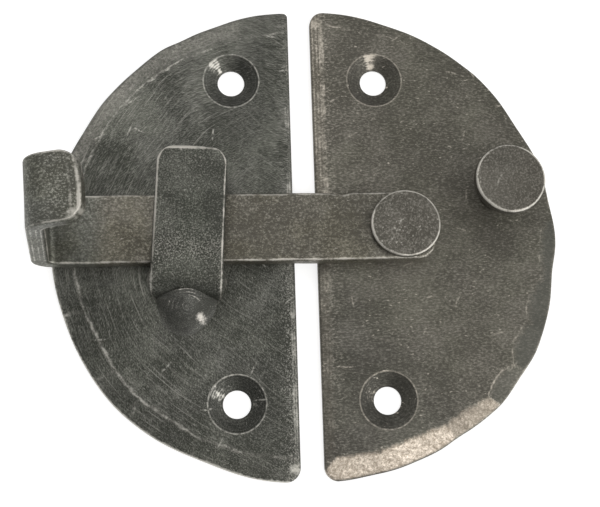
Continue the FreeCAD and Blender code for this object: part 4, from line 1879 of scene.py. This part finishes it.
@dataclass
class Latch:
    """The whole latch: two plates, keeper, bar, rivet and knob."""

    strip: StripSizes = field(default_factory=StripSizes)

    def keep_plate(self) -> HammeredPlate:
        """Left plate with flat facets, whose ridges are worn, and a bright lower rim.

        Returns:
            The plate.
        """
        # bright is painted sheen on the upper facets.
        blows = [HammerBlow(*row) for row in (
            # angle, reach, drop, bright, ridge, rim, hollow
            (-83.0, 4.6, 0.8, 0.12, 0.36, 0.2),
            (-69.0, 4.8, 0.85, 0.36, 0.42, 0.2),
            (-54.8, 4.3, 0.75, 0.4, 0.52, 0.2),
            (-40.1, 4.0, 0.7, 0.4, 0.52, 0.2),
            (-27.1, 4.0, 0.75, 0.36, 0.52, 0.25),
            (-13.0, 4.2, 0.8, 0.2, 0.5, 0.3),
            (0.0, 4.3, 0.7, 0.02, 0.4, 0.5),
            (13.5, 4.2, 0.75, 0.0, 0.58, 0.7),
            (27.3, 4.4, 0.85, 0.0, 0.66, 0.85),
            (40.1, 4.0, 0.8, 0.0, 0.64, 0.95),
            (54.9, 4.4, 0.8, 0.0, 0.58, 1.0),
            (70.0, 4.3, 0.75, 0.0, 0.46, 0.95),
            (83.0, 4.4, 0.8, 0.02, 0.4, 0.9),
        )]
        dents = [Bell(*row) for row in (
            # angle, spread, depth
            (-70.0, 8.0, 0.6), (-62.0, 4.0, 0.4), (-49.0, 8.0, 0.6), (-41.0, 5.0, 0.2),
            (-30.0, 9.5, 0.62), (18.0, 10.0, 0.2), (42.0, 7.0, -0.2), (67.0, 10.0, 0.62),
        )]
        glints = (
            Glint(True, 132.0, 17.0, 1.1), Glint(False, 150.0, 18.0, 0.8),
            Glint(False, 12.0, 24.0, 0.4), Glint(True, 40.0, 16.0, 0.4),
        )
        return HammeredPlate(
            "keep_plate_forged", "keep_plate", half_turn=True, overhang=0.0, lower_corner=0.9,
            upper_corner=2.6, edge_bevel=(0.9, 0.4), blows=blows, dents=dents, glints=glints, seed=31,
            cross_ridge=0.5, ridge_width=0.38, ridge_sheen=0.45, edge_scuff=(0.6, 1.0), edge_specks=0.2,
            edge_line=0.42, worn_corner=0.95, edge_streaks=(0.45,),
        )

    def door_plate(self) -> HammeredPlate:
        """Right plate: hollow facets low on its rim in painted shade, a long bevel at its foot in painted
        sheen, and a bevelled edge.

        Returns:
            The plate.
        """
        # bright is painted sheen on the facets at the foot, and painted shade where negative on the hollow
        # facets.
        blows = [HammerBlow(*row) for row in (
            # angle, reach, drop, bright, ridge, rim, hollow
            (-84.0, 4.6, 0.95, 0.95, 0.0, 0.0),
            (-70.0, 4.6, 1.0, 1.0, 0.0, 0.0),
            (-55.5, 3.9, 0.85, 0.62, 0.0, 0.1, 0.004),
            (-40.8, 3.5, 0.62, -0.4, 0.62, 0.5, 0.012),
            (-29.0, 4.3, 0.68, -0.6, 0.54, 0.5, 0.013),
            (-18.3, 4.5, 0.66, -0.6, 0.44, 0.3, 0.008),
            (-5.0, 3.6, 0.6, -0.6, 0.36, 0.2, 0.004),
            (9.0, 2.6, 0.4, 0.0, 0.1, 0.2),
            (22.0, 2.4, 0.4, 0.0, 0.1, 0.2),
            (35.0, 2.6, 0.5, 0.0, 0.15, 0.2),
            (49.0, 2.8, 0.45, 0.0, 0.25, 0.2),
            (63.0, 2.8, 0.4, 0.0, 0.3, 0.2),
            (78.0, 3.2, 0.45, 0.0, 0.5, 0.3),
        )]
        dents = [Bell(*row) for row in (
            # angle, spread, depth
            (-80.0, 5.0, 0.25), (-69.0, 6.0, 0.2), (-58.0, 4.0, 0.3), (-44.0, 6.0, -0.4),
            (-30.0, 5.0, -0.4), (-10.0, 6.0, 0.72), (8.0, 7.0, 0.6), (29.0, 9.0, 0.85),
            (42.0, 6.0, 0.25), (50.0, 4.0, 0.2), (58.0, 8.0, 0.4), (71.0, 7.0, 0.42),
        )]
        glints = (
            Glint(True, 100.0, 17.0, 1.1), Glint(False, 160.0, 45.0, 0.4), Glint(True, 20.0, 22.0, 0.35),
        )
        boxes = [node_box(node) for node in ("pivot_rivet", "pull_knob")]
        return HammeredPlate(
            "door_plate_forged", "door_plate", half_turn=False, overhang=0.9, lower_corner=2.6,
            upper_corner=2.6, edge_bevel=(2.3, 0.5), blows=blows, dents=dents, glints=glints, seed=47,
            cross_ridge=0.9, ridge_width=0.22, ridge_sheen=0.0, edge_scuff=(0.95, 0.4), edge_specks=0.12,
            edge_line=0.44, worn_corner=0.6, edge_streaks=(0.45, 1.15, 1.7),
            tenons=[(low + high)[:2] / 2 for low, high in boxes],
        )

    def build(self) -> None:
        """Build and dress every piece."""
        effects = SteelEffects()
        keeper = Keeper(self.strip)
        plates = ((self.keep_plate(), PLATE_LEFT), (self.door_plate(), PLATE_RIGHT))
        for plate, finish in plates:
            bored_finish = replace(finish, hole=plate.folded_hole(), sink_radius=plate.sink_radius)
            dress(plate.build(), bored_finish, effects, plate.node, Body.PLATES)
        dress(keeper.build(), KEEPER_STEEL, effects, "keeper", Body.PLATES)
        dress(keeper.build_weld(), WELD_STEEL, effects, "keeper", Body.PLATES)
        dress(LatchBar(self.strip).build(), BAR_STEEL, effects, "latch_bar", Body.BAR)
        rivet = HeadedPin("pivot_rivet_forged", "pivot_rivet", head=1.5, stem=3.5, neck=0.05, seed=61,
                          specks=0.05, oval=0.96)
        knob = HeadedPin("pull_knob_forged", "pull_knob", head=2.2, stem=3.2, neck=1.2, seed=62,
                         specks=0.01, oval=0.985)
        dress(rivet.build(), PIN_STEEL, effects, "pivot_rivet", Body.PLATES)
        dress(knob.build(), KNOB_STEEL, effects, "pull_knob", Body.PLATES)


@dataclass(frozen=True)
class SkyPatch:
    """Part of the room that is paler or darker than the rest.

    Attributes:
        heading: direction of its middle.
        edge: cosine of the angle at which it ends.
        level: how much it adds at its middle.
    """

    heading: Place
    edge: float
    level: float


@dataclass(frozen=True)
class SoftBox:
    """Square lamp that faces the latch.

    Attributes:
        name: name of the lamp.
        place: where it stands, in metres.
        size: length of its side, in metres.
        radiance: how bright its face is.
        colour: colour of its light.
    """

    name: str
    place: Place
    size: float
    radiance: float
    colour: Colour

    def build(self) -> None:
        """Add the lamp."""
        light = bpy.data.lights.new(self.name, "AREA")
        light.shape = "SQUARE"
        light.size = self.size
        light.energy = self.radiance * math.pi * self.size**2
        light.color = self.colour
        holder = link_object(self.name, light)
        holder.location = self.place
        holder.rotation_euler = Vector(self.place).to_track_quat("Z", "Y").to_euler()


@dataclass
class Studio:
    """Floor, light and camera.

    Attributes:
        tilt: angle of the view from straight down.
        swing: turn of the view about the vertical, from straight below the latch.
        roll: turn of the camera about its own axis.
        distance, target: distance of the camera from the point that it looks at, and that point.
        focal_pixels, sensor: focal length in pixels of the image, and width of the sensor.
        nearest: nearest distance that the camera sees, in metres.
        room, darkest, room_colour: even level of the room's light, its lowest level and its colour.
        patches, lamps: paler and darker parts of the room, and soft boxes.
        floor_half, floor_height: half of the floor's side, and its height, in metres.
        floor_paint, floor_glow: how much light the floor throws back, and how much white it adds of its own.
    """

    tilt: float = 12.448
    swing: float = -21.207
    roll: float = -1.808
    distance: float = 198.0
    target: Place = (-1.576, -3.175, 2.0)
    focal_pixels: float = 1088.4
    sensor: float = 36.0
    nearest: float = 0.01
    room: float = 0.55
    darkest: float = 0.05
    room_colour: Colour = (1.0, 0.99, 0.97)
    patches: tuple[SkyPatch, ...] = (
        SkyPatch((-0.55, 0.25, 0.8), 0.8, 0.2),
        SkyPatch((0.95, 0.1, 0.2), 0.55, 0.7),
        SkyPatch((0.62, -0.65, 0.42), 0.8, 1.8),
        SkyPatch((-0.5, -0.8, 0.2), 0.2, -0.4),
        SkyPatch((0.6, 0.1, 0.6), 0.8, -0.15),
    )
    lamps: tuple[SoftBox, ...] = (
        SoftBox("key", (-0.14, 0.34, 0.58), 0.26, 2.4, (1.0, 0.98, 0.95)),
        SoftBox("foot", (0.15, -0.23, 0.5), 0.16, 5.0, (1.0, 0.96, 0.9)),
    )
    floor_half: float = 2.0
    floor_height: float = -0.0002
    floor_paint: float = 0.5
    floor_glow: float = 0.75

    def camera(self) -> None:
        """Place the camera at the photo's point of view."""
        tilt, swing = math.radians(self.tilt), math.radians(self.swing)
        back = Vector((math.sin(swing) * math.sin(tilt), -math.cos(swing) * math.sin(tilt), math.cos(tilt)))
        right = Vector((0, 1, 0)).cross(back).normalized()
        up = back.cross(right)
        basis = Matrix((right, up, back)).transposed() @ Matrix.Rotation(math.radians(self.roll), 3, "Z")
        lens = bpy.data.cameras.new("photo_camera")
        lens.sensor_fit = "HORIZONTAL"
        lens.sensor_width = self.sensor
        lens.lens = self.focal_pixels / IMAGE_WIDTH * self.sensor
        lens.clip_start = self.nearest
        eye = (Vector(self.target) + back * self.distance) * MM
        holder = link_object("photo_camera", lens)
        holder.matrix_world = Matrix.Translation(eye) @ basis.to_4x4()
        bpy.context.scene.camera = holder

    def world(self) -> None:
        """Room of one even level with paler and darker patches."""
        world = bpy.data.worlds.new("studio")
        graph = Graph.fresh(world)
        heading = graph.add("ShaderNodeTexCoord").outputs["Generated"]
        level = self.room
        for patch in self.patches:
            facing = graph.measure("DOT_PRODUCT", heading, tuple(Vector(patch.heading).normalized()))
            level = graph.math("ADD", level, graph.span(facing, patch.edge, 1.0, 0.0, patch.level))
        level = graph.most(level, self.darkest)
        sky = graph.add("ShaderNodeBackground", {"Color": (*self.room_colour, 1.0), "Strength": level})
        graph.add("ShaderNodeOutputWorld", {"Surface": sky.outputs[0]})
        bpy.context.scene.world = world

    def floor(self) -> None:
        """White floor that keeps a faint shadow: part of its white is its own to the eye and to metal."""
        half = self.floor_half
        corners = [(-half, -half, 0), (half, -half, 0), (half, half, 0), (-half, half, 0)]
        mesh = bpy.data.meshes.new("floor")
        mesh.from_pydata(corners, [], [(0, 1, 2, 3)])
        made = bpy.data.materials.new("floor_white")
        graph = Graph.fresh(made)
        path = graph.add("ShaderNodeLightPath").outputs
        seen = graph.most(path["Is Camera Ray"], path["Is Glossy Ray"])
        seen = graph.most(seen, path["Is Transmission Ray"])
        paint = graph.add("ShaderNodeBsdfDiffuse", {"Color": (*[self.floor_paint] * 3, 1.0)})
        glow = graph.add("ShaderNodeEmission", {"Strength": graph.times(seen, self.floor_glow)})
        both = graph.add("ShaderNodeAddShader", {0: paint.outputs[0], 1: glow.outputs[0]})
        graph.add("ShaderNodeOutputMaterial", {"Surface": both.outputs[0]})
        mesh.materials.append(made)
        floor = link_object("floor", mesh)
        floor.location.z = self.floor_height

    def build(self) -> None:
        """Set the whole studio up."""
        bpy.context.scene.view_settings.view_transform = "Standard"
        self.camera()
        self.world()
        self.floor()
        for lamp in self.lamps:
            lamp.build()


def main() -> None:
    """Build the latch and its studio, and log the faces of each piece."""
    logging.basicConfig(level=logging.INFO, format="%(name)s: %(message)s")
    Latch().build()
    Studio().build()


if __name__ == "__main__":
    main()
